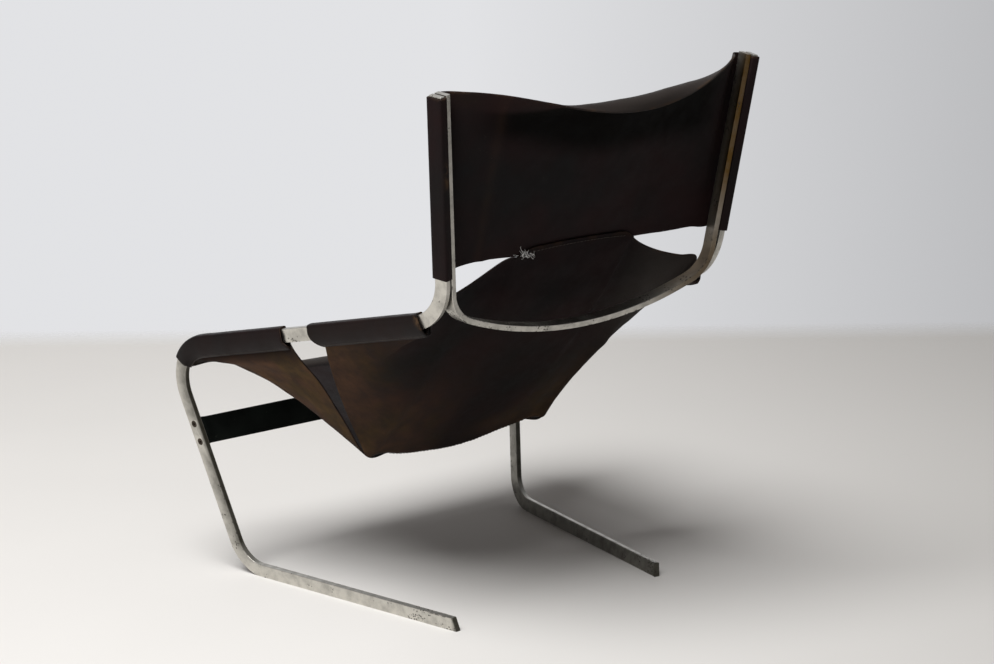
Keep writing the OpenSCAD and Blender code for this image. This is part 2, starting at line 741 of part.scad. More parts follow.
module crease_thread() {
    drop = hide_play;
    placed()
        thread([for (k = [-thread_steps:thread_steps])
            let (s = abs(k) / thread_steps, a = 1 - s)
            [crease_tip.x * k / thread_steps, crease_tip.y,
                crease_tip.z - crease_sag * (1 - s * s) - drop]]);
}
module tongue_thread() {
    placed()
        thread([for (k = [-thread_steps:thread_steps])
            let (s = abs(k) / thread_steps, x = tongue_top_half * s,
                q = behind_back(x, lerp(tongue_lap, tongue_corner_lap, s * s) - tongue_seam))
            [k < 0 ? -q.x : q.x, q.y + thread_off + hide_play, q.z]]);
}

left_side_frame();
right_side_frame();
front_crossbar();
back_bow();
left_crossbar_screws();
right_crossbar_screws();
left_bow_screws();
right_bow_screws();
front_seat_sheet();
rear_seat_sheet();
back_sheet();
crease_thread();
tongue_thread();
left_front_sleeve_thread();
right_front_sleeve_thread();
left_rear_sleeve_thread();
right_rear_sleeve_thread();
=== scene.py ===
import math
import random
from contextlib import contextmanager

import bmesh
import bpy
import numpy as np
from bpy.props import FloatProperty, FloatVectorProperty, IntProperty, PointerProperty
from mathutils import Matrix, Vector, noise


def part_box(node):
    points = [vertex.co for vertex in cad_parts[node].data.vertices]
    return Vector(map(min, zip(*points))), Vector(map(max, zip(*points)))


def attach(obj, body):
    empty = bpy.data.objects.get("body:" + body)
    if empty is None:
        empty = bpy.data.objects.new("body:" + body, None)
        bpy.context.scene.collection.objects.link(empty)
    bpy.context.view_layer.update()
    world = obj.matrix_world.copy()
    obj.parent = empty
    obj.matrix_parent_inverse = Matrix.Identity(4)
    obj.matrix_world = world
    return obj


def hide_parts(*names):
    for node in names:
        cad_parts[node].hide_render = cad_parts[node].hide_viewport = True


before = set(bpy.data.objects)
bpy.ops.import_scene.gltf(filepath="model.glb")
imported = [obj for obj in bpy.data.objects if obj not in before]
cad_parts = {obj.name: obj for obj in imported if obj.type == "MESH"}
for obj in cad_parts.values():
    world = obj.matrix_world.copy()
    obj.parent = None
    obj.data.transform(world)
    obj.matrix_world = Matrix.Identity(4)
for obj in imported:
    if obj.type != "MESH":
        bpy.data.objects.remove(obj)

bl_info = {
    "name": "Sling lounge chair",
    "version": (1, 0, 0),
    "blender": (4, 5, 0),
    "location": "View3D > Sidebar > Lounge chair",
    "description": "Flat-bar steel frame with a sling of thick hide, built round its CAD frame",
    "category": "Add Mesh",
}

MM = 0.001
BODY = "root"

# Steel frame, with the sizes that the CAD frame has: lengths in metres, headings in degrees
BAR_W = 25 * MM
BAR_T = 10 * MM
HALF_W = BAR_W / 2
FOOT_HALF = 321.5 * MM
TOE_IN = math.radians(10)
SPLAY = math.radians(8)
END_SLANT = 15
HEADINGS = (180, 90 + 16.4, 12.8, 90 - 5.9)
SPANS = (517 * MM, 422 * MM, 702 * MM, 385 * MM)
BEND_RADII = (65 * MM, 88 * MM, 90 * MM)
CROSSBAR_UP = 258 * MM
SCREW_PITCH = 34 * MM
BOW_H = 435 * MM
BOW_SAG_R = 734 * MM
BOW_BEND_R = 62 * MM
BOW_TWIST_SHARE = 0.55
BOW_SCREW_TOP = 45 * MM
BOW_SCREW_PITCH = 105 * MM
BOW_SCREW_COUNT = 3
SCREW_D = 6 * MM
SCREW_HEAD_D = 13 * MM
SCREW_HEAD_H = 3.5 * MM
SOCKET_D = 4.6 * MM
SOCKET_H = 2.2 * MM
SCREW_PLAY = 0.15 * MM
CROSSBAR_T = 6 * MM

# Hide: its sleeves round the seat rails and its pockets round the back posts
HIDE_T = 3 * MM
HIDE_PLAY = 0.3 * MM
SLEEVE_FLAP = 13 * MM
SLEEVE_SEAM = 9 * MM
FRONT_SLEEVE_LEAD = 72 * MM
FRONT_SLEEVE_L = 289 * MM
REAR_SLEEVE_L = 249 * MM
REAR_SLEEVE_TAIL = 98 * MM
REAR_SLEEVE_LEAD = 21 * MM
POCKET_START = 9 * MM
POCKET_END = 3.5 * MM
POCKET_GRIP = 8 * MM

# Seat sheets: fold lines, crease and bellies, measured from the ends of the sleeve seams
KINK = np.array([137, 18, 31.5]) * MM
FRONT_SAG = 5 * MM
FRONT_NARROW = 6 * MM
KINK_LIFT = 4 * MM
FLANK_LIFT = 9 * MM
EAR = 13 * MM
EAR_SHAPE = (0.6, 1.0, 0.45, 0)
CREASE_DIP = 8 * MM
CREASE_END_LIFT = 5 * MM
CREASE_LIFT = 8 * MM
TUCK = 12 * MM
TIP = np.array([144, -25.5, 217]) * MM
CREASE_SAG = 7 * MM
CREASE_PART = HIDE_T * 0.28
FOLD_RISE = 12 * MM
FRONT_BELLY = 6 * MM
REAR_BELLY = 17 * MM
NOTCH_BOW = 13 * MM

# Back sheet: its lower edge, and the upper lip that rolls back in the middle
WING_STEP = 2.5 * MM
LOW_AHEAD = 12 * MM
LOW_DROP = 3.8 * MM
LOW_HUMP = 39.6 * MM
LOW_ROUND_SHARE = 0.46
LOW_SLACK = 6 * MM
LIP_BACK = 118 * MM
LIP_DROP = 51 * MM
LIP_HUMP = 116 * MM
LIP_ROUND_SHARE = 0.60
LIP_BAND = 51.2 * MM
LIP_ROLL = math.radians(162.7)
LIP_ROLL_AT = -0.104
LIP_ROLL_WIDTHS = (0.56, 0.632)
LIP_UPRIGHT = math.radians(16.6)

# Rear seat sheet: the tongue behind the back sheet, and the corners beside the posts
TONGUE_HALF = 128 * MM
TONGUE_TOP_HALF = 106 * MM
TONGUE_LAP = 26 * MM
TONGUE_CORNER_LAP = 15 * MM
TONGUE_GAP = 1.2 * MM
TONGUE_SEAM = 7 * MM
TONGUE_LEAD = np.array([14, -25, 2]) * MM
RAIL_LEAD = np.array([-125, -16, 22]) * MM
CORNER_REACH = 27 * MM
CORNER_M = 14 * MM
CORNER_CLEAR = 1.2 * MM
FOLD_OUT = 3 * MM
FOLD_IN = 5 * MM
HEM = 8 * MM
FLANK_EDGE_SHARE = 0.3

THREAD_D = 1.2 * MM
THREAD_INSET = 8 * MM

# Profiles of sleeve and pocket: m across the bar's width, n out from its outer face
WRAP = HIDE_PLAY + HIDE_T / 2
WRAP_CORNER = WRAP * 0.75
HUG = WRAP * 2 / 3
SEAM_N = BAR_T / 2 + (HIDE_T + HIDE_PLAY) / 2
SANDWICH = HIDE_T + 2 * HIDE_PLAY
SEAM = (-HALF_W - SLEEVE_SEAM, -SEAM_N)
SLEEVE = (
    (-HALF_W - SLEEVE_FLAP, SEAM_N - BAR_T - 0.4 * MM),
    (-HALF_W - SLEEVE_SEAM - 1.4 * MM, -1.3 * MM),
    (-HALF_W - 5.5 * MM, WRAP + 0.2 * MM),
    (-HALF_W + 1 * MM, WRAP + 1.9 * MM),
    (0, WRAP + 2.5 * MM),
    (HALF_W - 3.5 * MM, WRAP + 0.9 * MM),
    (HALF_W + WRAP_CORNER, WRAP_CORNER),
    (HALF_W + WRAP, -HUG),
    (HALF_W + WRAP, HUG - BAR_T),
    (HALF_W + WRAP_CORNER, -BAR_T - WRAP_CORNER),
    (HALF_W - HUG, -BAR_T - WRAP),
    (0, -BAR_T - WRAP),
    (-HALF_W - HUG, -BAR_T - WRAP),
)
POCKET = (
    (POCKET_GRIP, -BAR_T - WRAP),
    (HUG - HALF_W, -BAR_T - WRAP),
    (-HALF_W - WRAP_CORNER, -BAR_T - WRAP_CORNER),
    (-HALF_W - WRAP, HUG - BAR_T),
    (-HALF_W - WRAP, -HUG),
    (-HALF_W - WRAP_CORNER, WRAP_CORNER),
    (HUG - HALF_W, WRAP),
    (0, WRAP),
    (HALF_W - HUG, WRAP),
    (HALF_W + WRAP_CORNER, WRAP_CORNER),
    (HALF_W + WRAP, -HUG),
    (HALF_W + WRAP, -BAR_T - SANDWICH / 2),
    (HALF_W + WRAP, -2 * BAR_T - SANDWICH + HUG),
)

# Plane of the left side frame
REARWARD = np.array([-math.sin(TOE_IN), math.cos(TOE_IN), 0])
UPWARD = np.array([math.sin(SPLAY) * math.cos(TOE_IN), math.sin(SPLAY) * math.sin(TOE_IN),
                   math.cos(SPLAY)])
OUTWARD = np.cross(REARWARD, UPWARD)


def compass(angle):
    """Unit vector in a drawing plane at an angle in degrees."""
    return np.array([math.cos(math.radians(angle)), math.sin(math.radians(angle))])


def tangent_length(i):
    """Length that a bend takes from each of its two straights."""
    if not 0 <= i < len(BEND_RADII):
        return 0.0
    turn = math.radians(HEADINGS[i + 1] - HEADINGS[i])
    return BEND_RADII[i] * math.tan(abs(turn) / 2)


def bar_line():
    """Straights and bends of the bar's middle line: start, heading, length, signed radius."""
    line = []
    corner = np.array([SPANS[0], HALF_W - BAR_T * math.tan(SPLAY)])
    for i, span in enumerate(SPANS):
        ahead = compass(HEADINGS[i])
        start = corner + tangent_length(i - 1) * ahead
        length = span - tangent_length(i - 1) - tangent_length(i)
        line.append((start, HEADINGS[i], length, 0.0))
        if i < len(BEND_RADII):
            turn = math.radians(HEADINGS[i + 1] - HEADINGS[i])
            radius = math.copysign(BEND_RADII[i], turn)
            line.append((start + length * ahead, HEADINGS[i], abs(radius * turn), radius))
        corner = corner + span * ahead
    return line


LINE = bar_line()
LEG_START, KNEE_START, RAIL_START, POST_START, POST_TOP = (
    sum(piece[2] for piece in LINE[:count]) for count in (2, 3, 4, 6, 7))


def on_line(d):
    """Point and heading of the middle line at a distance from the runner's rear end."""
    for start, heading, length, radius in LINE:
        if d <= length:
            break
        d -= length
    if radius == 0:
        return start + min(d, length) * compass(heading), heading
    side = math.copysign(1, radius)
    swept = side * math.degrees(d / abs(radius))
    centre = start + radius * compass(heading + 90)
    return centre - radius * compass(heading + 90 + swept), heading + swept


def in_plane(h, v, n, shift=0.0):
    """Point of the left side frame's plane, n outwards from the outer face."""
    return np.array([FOOT_HALF, shift, 0]) + h * REARWARD + v * UPWARD + n * OUTWARD


def bar_front():
    """The middle line's most forward reach, on the inner face of the knee bend."""
    ys = []
    for d in np.linspace(KNEE_START, RAIL_START, 200):
        point, heading = on_line(d)
        edge = point + HALF_W * compass(heading + 90)
        ys.append(in_plane(edge[0], edge[1], -BAR_T)[1])
    return min(ys)


SHIFT_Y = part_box("left_side_frame")[0].y - bar_front()


def on_bar(d, m, n):
    """Point on the left bar: d along it, m across its width, n out from its outer face."""
    point, heading = on_line(d)
    edge = point + m * compass(heading + 90)
    return in_plane(edge[0], edge[1], n, SHIFT_Y)


def plane_direction(angle):
    """Direction in the side frame's plane as a vector of the room."""
    h, v = compass(angle)
    return h * REARWARD + v * UPWARD


def lerp(a, b, t):
    return a + (b - a) * t


def unit(v):
    return v / max(np.linalg.norm(v), 1e-12)


def swell(t):
    return 4 * t * (1 - t)


def bezier(points, t):
    while len(points) > 1:
        points = [lerp(a, b, t) for a, b in zip(points, points[1:])]
    return points[0]


def smoothstep(low, high, x):
    t = np.clip((x - low) / (high - low), 0, 1)
    return t * t * (3 - 2 * t)


def bell(x, at, width):
    """1 at a place, falling to 0 within about two widths on both sides of it."""
    return np.exp(-((x - at) / width) ** 2)


# Settings that a user would change


def tint(name, text, color):
    return FloatVectorProperty(name=name, description=text, subtype="COLOR", size=3,
                               default=color, min=0, max=1)


def size(name, text, default, low, high):
    return FloatProperty(name=name, description=text, default=default, min=low, max=high,
                         unit="LENGTH")


def amount(name, text, default, high):
    return FloatProperty(name=name, description=text, default=default, min=0, max=high)


class FrameSettings(bpy.types.PropertyGroup):
    edge_radius: size("Edge radius", "Rounding of the flat bar's long edges",
                      0.9 * MM, 0.2 * MM, 3 * MM)
    edge_steps: IntProperty(
        name="Edge steps", description="Faces round each long edge", default=3, min=1, max=6)
    steel_color: tint("Steel", "Colour of the bare steel", (0.60, 0.58, 0.53))
    # Also the colour of painted shade on the legs' narrow rear edges
    film_and_shade_color: tint("Film", "Colour of steel darkened by age", (0.036, 0.032, 0.020))
    gilt_color: tint("Varnish", "Colour of yellowed varnish on steel", (0.130, 0.074, 0.021))
    paint_color: tint("Crossbar paint", "Colour of the blackened crossbar",
                      (0.0035, 0.0045, 0.004))
    screw_color: tint("Screws", "Colour of the browned screws", (0.075, 0.055, 0.038))


class HideSettings(bpy.types.PropertyGroup):
    mesh_step: size("Mesh step", "Spacing of the hide's mesh lines", 4 * MM, 2 * MM, 10 * MM)
    ripple: size("Ripple", "Depth of the hide's slow ripples", 1.3 * MM, 0, 4 * MM)
    hide_color: tint("Hide", "Colour of the worn charcoal hide", (0.0050, 0.0047, 0.0050))
    brown_color: tint("Brown", "Warm colour of the rubbed underside", (0.105, 0.055, 0.031))
    plum_color: tint("Plum", "Reddish tint in the dye", (0.0105, 0.0054, 0.0058))
    olive_color: tint("Olive", "Yellowed colour in the rubbed underside",
                      (0.094, 0.056, 0.023))
    # Also used for painted sheen on the back's rolled lip
    faded_color: tint("Faded", "Grey of hide that has faded and dried", (0.036, 0.031, 0.028))
    raw_color: tint("Raw edge", "Colour of cut edges and scuffs", (0.085, 0.050, 0.027))


class StitchSettings(bpy.types.PropertyGroup):
    pitch: size("Stitch pitch", "Distance from stitch to stitch", 7.5 * MM, 3 * MM, 15 * MM)
    thread_color: tint("Thread", "Colour of the waxed thread", (0.040, 0.031, 0.024))


class StageSettings(bpy.types.PropertyGroup):
    floor_color: tint("Floor", "Colour of the studio floor", (0.80, 0.79, 0.775))
    wall_color: tint("Wall", "Colour behind the chair", (0.76, 0.765, 0.785))
    room_share: amount("Room", "Brightness of the room beside the wall in reflections", 0.28, 1)
    fill_strength: amount("Fill", "Strength of the even fill light", 0.13, 2)
    key_power: amount("Key power", "Power of the large soft light in watts", 515, 4000)
    key_size: size("Key size", "Diameter of the large soft light", 4.6, 0.1, 8)
    key_distance: size("Key distance", "Distance of the large soft light", 6.6, 1, 20)
    key_direction: FloatVectorProperty(
        name="Key direction", description="Direction from the chair to the large soft light",
        subtype="DIRECTION", size=3, default=(0.42, 0.12, 0.90))


# Meshes and objects


def finish_piece(obj, slot, *nodes):
    """A finished piece rides on the frame and stands for its CAD nodes."""
    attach(obj, BODY)
    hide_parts(*nodes)


def new_object(name, mesh, material=None):
    obj = bpy.data.objects.new(name, mesh)
    bpy.context.scene.collection.objects.link(obj)
    if material is not None and not mesh.materials:
        mesh.materials.append(material)
    return obj


def mesh_from(name, vertices, faces):
    mesh = bpy.data.meshes.new(name)
    mesh.from_pydata([tuple(v) for v in vertices], [], [tuple(f) for f in faces])
    return mesh


@contextmanager
def edited(mesh):
    """Opens a mesh for editing and writes the result back."""
    work = bmesh.new()
    work.from_mesh(mesh)
    yield work
    work.to_mesh(mesh)
    work.free()


def tidy_normals(mesh):
    """Merges doubles and turns every face outwards."""
    with edited(mesh) as work:
        bmesh.ops.remove_doubles(work, verts=work.verts, dist=0.001 * MM)
        bmesh.ops.recalc_face_normals(work, faces=work.faces)


def add_modifier(obj, kind, **values):
    modifier = obj.modifiers.new(kind.title(), kind)
    for key, value in values.items():
        setattr(modifier, key, value)


def apply_modifiers(obj):
    """Gives the object the mesh that its modifiers make, and removes them."""
    graph = bpy.context.evaluated_depsgraph_get()
    mesh = bpy.data.meshes.new_from_object(obj.evaluated_get(graph))
    obj.modifiers.clear()
    obj.data = mesh


def crisp(mesh, degrees):
    """Smooth shading with sharp edges where faces turn by more than the angle."""
    mesh.shade_smooth()
    mesh.set_sharp_from_angle(angle=math.radians(degrees))


def mirrored_copy(obj, name):
    """The same piece on the other side of the chair."""
    mesh = obj.data.copy()
    mesh.transform(Matrix.Scale(-1, 4, (1, 0, 0)))
    mesh.flip_normals()
    mesh.name = name
    twin = new_object(name, mesh)
    for modifier in obj.modifiers:
        copy = twin.modifiers.new(modifier.name, modifier.type)
        for prop in modifier.bl_rna.properties:
            if not prop.is_readonly and prop.identifier not in ("name", "type"):
                setattr(copy, prop.identifier, getattr(modifier, prop.identifier))
    return twin


def finish_pair(left, slot, node):
    """Finishes a piece of the left side, and its mirror image on the right."""
    right = mirrored_copy(left, left.name.replace("left_", "right_"))
    finish_piece(left, slot, "left_" + node)
    finish_piece(right, slot, "right_" + node)


def host_line(name, points, **directions):
    """A run of edges through points, with a vector attribute for each direction."""
    mesh = bpy.data.meshes.new(name)
    mesh.from_pydata([tuple(p) for p in points],
                     [(i, i + 1) for i in range(len(points) - 1)], [])
    for key, vectors in directions.items():
        attribute = mesh.attributes.new(key, "FLOAT_VECTOR", "POINT")
        attribute.data.foreach_set("vector", np.array(vectors, np.float32).ravel())
    return new_object(name, mesh)


# Geometry node trees


class Tree:
    """Short way to lay nodes and links in a node tree."""

    def __init__(self, tree):
        self.tree = tree

    def add(self, kind, inputs=None, **values):
        node = self.tree.nodes.new(kind)
        for key, value in values.items():
            setattr(node, key, value)
        for key, value in (inputs or {}).items():
            if isinstance(value, bpy.types.NodeSocket):
                self.tree.links.new(value, self.socket(node, key))
            else:
                self.socket(node, key).default_value = value
        return node

    @staticmethod
    def socket(node, key):
        if isinstance(key, int):
            return node.inputs[key]
        for found in node.inputs:
            if found.identifier == key:
                return found
        return node.inputs[key]

    def link(self, source, node, key):
        self.tree.links.new(source, self.socket(node, key))


def geometry_tree(name, sizes):
    """A geometry tree with a geometry input, named inputs for its sizes, and an output."""
    tree = bpy.data.node_groups.new(name, "GeometryNodeTree")
    tree.interface.new_socket("Geometry", in_out="INPUT", socket_type="NodeSocketGeometry")
    for label, kind, default in sizes:
        socket = tree.interface.new_socket(label, in_out="INPUT", socket_type=kind)
        if default is not None:
            socket.default_value = default
    tree.interface.new_socket("Geometry", in_out="OUTPUT", socket_type="NodeSocketGeometry")
    return tree, Tree(tree)


def close_tree(lay, geometry, material):
    """Real faces with their material, as the tree's result."""
    real = lay.add("GeometryNodeRealizeInstances", {"Geometry": geometry})
    painted = lay.add("GeometryNodeSetMaterial",
                      {"Geometry": real.outputs[0], "Material": material})
    out = lay.add("NodeGroupOutput")
    lay.tree.links.new(painted.outputs[0], out.inputs[0])


def run_tree(obj, tree, **values):
    """Runs a geometry tree on the object and keeps the plain mesh that it makes."""
    modifier = obj.modifiers.new(tree.name, "NODES")
    modifier.node_group = tree
    for item in tree.interface.items_tree:
        key = item.name.lower().replace(" ", "_")
        if item.in_out == "INPUT" and key in values:
            modifier[item.identifier] = values[key]
    apply_modifiers(obj)


def named_vector(lay, name):
    return lay.add("GeometryNodeInputNamedAttribute", {"Name": name},
                   data_type="FLOAT_VECTOR").outputs[0]


def curve_facing(lay, given, name):
    """The host's edges as a curve whose normals follow a vector attribute."""
    line = lay.add("GeometryNodeMeshToCurve", {"Mesh": given["Geometry"]})
    return lay.add("GeometryNodeSetCurveNormal",
                   {"Curve": line.outputs[0], "Normal": named_vector(lay, name)},
                   mode="FREE").outputs[0]


def flat_bar_tree():
    """Sweeps a flat bar with rounded edges along a line; face_dir is its width direction."""
    tree, lay = geometry_tree("Flat bar", [
        ("Bar width", "NodeSocketFloat", BAR_W),
        ("Bar thickness", "NodeSocketFloat", BAR_T),
        ("Edge radius", "NodeSocketFloat", 0.9 * MM),
        ("Edge steps", "NodeSocketInt", 3),
        ("Material", "NodeSocketMaterial", None),
    ])
    given = lay.add("NodeGroupInput").outputs
    outline = lay.add("GeometryNodeCurvePrimitiveQuadrilateral",
                      {"Width": given["Bar width"], "Height": given["Bar thickness"]})
    rounded = lay.add("GeometryNodeFilletCurve",
                      {"Curve": outline.outputs[0], "Count": given["Edge steps"],
                       "Radius": given["Edge radius"]}, mode="POLY")
    marked = lay.add("GeometryNodeStoreNamedAttribute",
                     {"Geometry": rounded.outputs[0], "Name": "section",
                      "Value": lay.add("GeometryNodeInputPosition").outputs[0]},
                     data_type="FLOAT_VECTOR", domain="POINT")
    swept = lay.add("GeometryNodeCurveToMesh",
                    {"Curve": curve_facing(lay, given, "face_dir"),
                     "Profile Curve": marked.outputs[0], "Fill Caps": True})
    close_tree(lay, swept.outputs[0], given["Material"])
    return tree


COPY_INPUTS = [("Piece", "NodeSocketObject", None), ("Spin", "NodeSocketFloat", 0.0),
               ("Seed", "NodeSocketInt", 3), ("Material", "NodeSocketMaterial", None)]


def place_copies(lay, given, points, directions, axes, shares):
    """Copies of the piece, turned to two directions and spun between shares of the spin."""
    facing = lay.add("FunctionNodeAxesToRotation",
                     {"Primary Axis": directions[0], "Secondary Axis": directions[1]},
                     primary_axis=axes[0], secondary_axis=axes[1])
    low, high = (lay.add("ShaderNodeMath", {0: given["Spin"], 1: share},
                         operation="MULTIPLY").outputs[0] for share in shares)
    chance = lay.add("FunctionNodeRandomValue",
                     {"Min_001": low, "Max_001": high, "Seed": given["Seed"]},
                     data_type="FLOAT")
    spin = lay.add("ShaderNodeCombineXYZ", {"Z": chance.outputs[1]})
    as_turn = lay.add("FunctionNodeEulerToRotation", {"Euler": spin.outputs[0]})
    turned = lay.add("FunctionNodeRotateRotation",
                     {"Rotation": facing.outputs[0], "Rotate By": as_turn.outputs[0]},
                     rotation_space="LOCAL")
    piece = lay.add("GeometryNodeObjectInfo", {"Object": given["Piece"]})
    placed = lay.add("GeometryNodeInstanceOnPoints",
                     {"Points": points, "Instance": piece.outputs["Geometry"],
                      "Rotation": turned.outputs[0]})
    close_tree(lay, placed.outputs[0], given["Material"])


def screw_tree():
    """Sets a screw at every point, with its head towards out_dir."""
    tree, lay = geometry_tree("Screws", COPY_INPUTS)
    given = lay.add("NodeGroupInput").outputs
    points = lay.add("GeometryNodeMeshToPoints", {"Mesh": given["Geometry"]})
    directions = [named_vector(lay, key) for key in ("out_dir", "face_dir")]
    place_copies(lay, given, points.outputs[0], directions, "ZX", (-1.0, 1.0))
    return tree


def stitch_tree():
    """Lays stitches along a line, a pitch apart; out_dir points away from the hide."""
    tree, lay = geometry_tree(
        "Saddle stitches", [*COPY_INPUTS, ("Pitch", "NodeSocketFloat", 7.5 * MM)])
    given = lay.add("NodeGroupInput").outputs
    points = lay.add("GeometryNodeCurveToPoints",
                     {"Curve": curve_facing(lay, given, "out_dir"),
                      "Length": given["Pitch"]}, mode="LENGTH").outputs
    directions = (points["Tangent"], points["Normal"])
    place_copies(lay, given, points["Points"], directions, "XZ", (0.4, 1.6))
    return tree


def set_copies(host, model_mesh, tree_name, tree_maker, **values):
    """Runs a tree that places copies of a model mesh on the host's points."""
    model = new_object("model", model_mesh)
    tree = bpy.data.node_groups.get(tree_name) or tree_maker()
    run_tree(host, tree, piece=model, **values)
    bpy.data.objects.remove(model)


# Shader node groups and materials

RUST_COLOR = (0.022, 0.016, 0.010)
CHIP_COLOR = (0.10, 0.10, 0.085)
# Near-black of painted shade, also of dark seam lines
SHADE_AND_SEAM_COLOR = (0.0003, 0.0003, 0.0003)
SPECK_COLOR = (0.12, 0.11, 0.10)
FRAYED_COLOR = (0.15, 0.12, 0.085)
SOIL_COLOR = (0.6, 0.59, 0.58)
FILL_COLOR = (1.0, 0.92, 0.86)
KEY_COLOR = (1.0, 0.99, 0.975)
SPECULAR = "Specular IOR Level"


def rgb(color, share=1.0):
    """A socket's colour, made darker or lighter by a share."""
    return (*(c * share for c in color), 1.0)


class ShaderTree(Tree):
    """Adds the steps that the materials repeat; each gives its output socket."""

    def math(self, operation, a, b):
        return self.add("ShaderNodeMath", {0: a, 1: b}, operation=operation).outputs[0]

    def times(self, a, b):
        return self.math("MULTIPLY", a, b)

    def plus(self, a, b):
        return self.math("ADD", a, b)

    def minus(self, a, b):
        return self.math("SUBTRACT", a, b)

    def larger(self, a, b):
        return self.math("MAXIMUM", a, b)

    def dot(self, a, b):
        return self.add("ShaderNodeVectorMath", {0: a, 1: b},
                        operation="DOT_PRODUCT").outputs["Value"]

    def ramp(self, value, low, high, to_low=0.0, to_high=1.0):
        """The value, stretched from one range to another and held inside it."""
        return self.add("ShaderNodeMapRange",
                        {"Value": value, "From Min": low, "From Max": high,
                         "To Min": to_low, "To Max": to_high}, clamp=True).outputs[0]

    def mix(self, factor, a, b):
        """Colour mix from a to b."""
        node = self.add("ShaderNodeMix", {"Factor_Float": factor, "A_Color": a, "B_Color": b},
                        data_type="RGBA")
        return next(s for s in node.outputs if s.identifier == "Result_Color")

    def noise(self, vector, scale, detail=3.0, roughness=0.55, distortion=0.0):
        return self.add("ShaderNodeTexNoise",
                        {"Vector": vector, "Scale": scale, "Detail": detail,
                         "Roughness": roughness, "Distortion": distortion}).outputs["Fac"]

    def cells(self, vector, scale, **values):
        return self.add("ShaderNodeTexVoronoi", {"Vector": vector, "Scale": scale},
                        **values).outputs["Distance"]

    def attribute(self, name, output="Fac"):
        return self.add("ShaderNodeAttribute", attribute_name=name).outputs[output]


def shader_group(name, inputs, outputs):
    """A group of masks; an input is a vector where it has no number as its default."""
    tree = bpy.data.node_groups.new(name, "ShaderNodeTree")
    for label, default in inputs.items():
        kind = "NodeSocketVector" if default is None else "NodeSocketFloat"
        socket = tree.interface.new_socket(label, in_out="INPUT", socket_type=kind)
        if default is not None:
            socket.default_value = default
    for label in outputs:
        tree.interface.new_socket(label, in_out="OUTPUT", socket_type="NodeSocketFloat")
    lay = ShaderTree(tree)
    return lay, lay.add("NodeGroupInput").outputs


def close_group(lay, *values):
    out = lay.add("NodeGroupOutput")
    for i, value in enumerate(values):
        lay.link(value, out, i)
    return lay.tree


def blotch_group():
    """Slow cloudy masks for uneven colour: broad clouds, small mottling, and fine specks."""
    lay, given = shader_group("Blotches", {"Vector": None, "Broad": 6.0, "Small": 38.0},
                              ("Broad", "Small", "Specks"))
    place = given["Vector"]
    broad = lay.noise(place, given["Broad"], 4.0, 0.5)
    small = lay.noise(place, given["Small"], 5.0, 0.6)
    dots = lay.ramp(lay.cells(place, 260.0), 0.16, 0.08)
    rare = lay.ramp(lay.noise(place, 70.0, 2.0), 0.62, 0.68)
    return close_group(lay, lay.ramp(broad, 0.36, 0.66), lay.ramp(small, 0.36, 0.68),
                       lay.times(dots, rare))


def grain_group():
    """Pebbled hide grain with long shallow wrinkles, as a height."""
    lay, given = shader_group("Hide grain", {"Vector": None, "Pebble scale": 620.0},
                              ("Height",))
    place = given["Vector"]
    warp = lay.add("ShaderNodeTexNoise", {"Vector": place, "Scale": 140.0, "Detail": 2.0})
    bent = lay.add("ShaderNodeMixRGB",
                   {"Fac": 0.012, "Color1": place, "Color2": warp.outputs["Color"]},
                   blend_type="ADD")
    cells = lay.cells(bent.outputs[0], given["Pebble scale"], feature="DISTANCE_TO_EDGE")
    wrinkles = lay.ramp(lay.noise(place, 55.0, 6.0, 0.62, 1.2), 0.3, 0.7)
    return close_group(lay, lay.plus(lay.times(lay.ramp(cells, 0.0, 0.16), 0.35), wrinkles))


def steel_wear_group():
    """Old bare steel: fine scratches, dull stains, rust pits, and the bar's long edges."""
    lay, given = shader_group("Steel wear", {"Vector": None, "Wear": 0.0, "Section": None},
                              ("Scratches", "Stains", "Pits", "Rim"))
    place = given["Vector"]
    stretched = lay.add("ShaderNodeMapping", {"Vector": place, "Scale": (900.0, 60.0, 60.0)})
    scratches = lay.noise(stretched.outputs[0], 1.0, 6.0, 0.7)
    stains = lay.noise(place, 42.0, 6.0, 0.66)
    more = lay.times(given["Wear"], 0.20)
    spots = lay.ramp(lay.cells(place, 230.0), 0.42, 0.26)
    above = lay.minus(lay.noise(place, 33.0, 3.0), lay.minus(0.66, more))
    pits = lay.times(spots, lay.ramp(above, 0.0, 0.05))
    # Near the bar's long edges both section values are at their ends
    apart = lay.add("ShaderNodeVectorMath", {0: given["Section"]}, operation="ABSOLUTE")
    parts = lay.add("ShaderNodeSeparateXYZ", {"Vector": apart.outputs[0]}).outputs
    rim = lay.times(lay.ramp(parts["X"], 0.40 * BAR_W, 0.49 * BAR_W),
                    lay.ramp(parts["Y"], 0.28 * BAR_T, 0.46 * BAR_T))
    chips = lay.ramp(lay.plus(lay.noise(place, 120.0, 4.0, 0.7), more), 0.66, 0.70)
    rust = lay.larger(pits, lay.times(rim, chips))
    return close_group(lay, lay.ramp(scratches, 0.3, 0.7), lay.ramp(stains, 0.42, 0.66),
                       rust, rim)


GROUPS = {}


def group_node(lay, maker, inputs):
    """Places one of the shared groups, built the first time it is used."""
    if maker not in GROUPS:
        GROUPS[maker] = maker()
    return lay.add("ShaderNodeGroup", inputs, node_tree=GROUPS[maker]).outputs


def new_material(name):
    material = bpy.data.materials.new(name)
    material.use_nodes = True
    lay = ShaderTree(material.node_tree)
    shader = material.node_tree.nodes["Principled BSDF"]
    place = lay.add("ShaderNodeTexCoord").outputs["Object"]
    return material, lay, shader, place


def dress(lay, shader, color, roughness, height, strength, distance):
    """Links colour, roughness and a bump to a material's shader."""
    lay.link(color, shader, "Base Color")
    lay.link(roughness, shader, "Roughness")
    bump = lay.add("ShaderNodeBump",
                   {"Strength": strength, "Distance": distance, "Height": height})
    lay.link(bump.outputs[0], shader, "Normal")


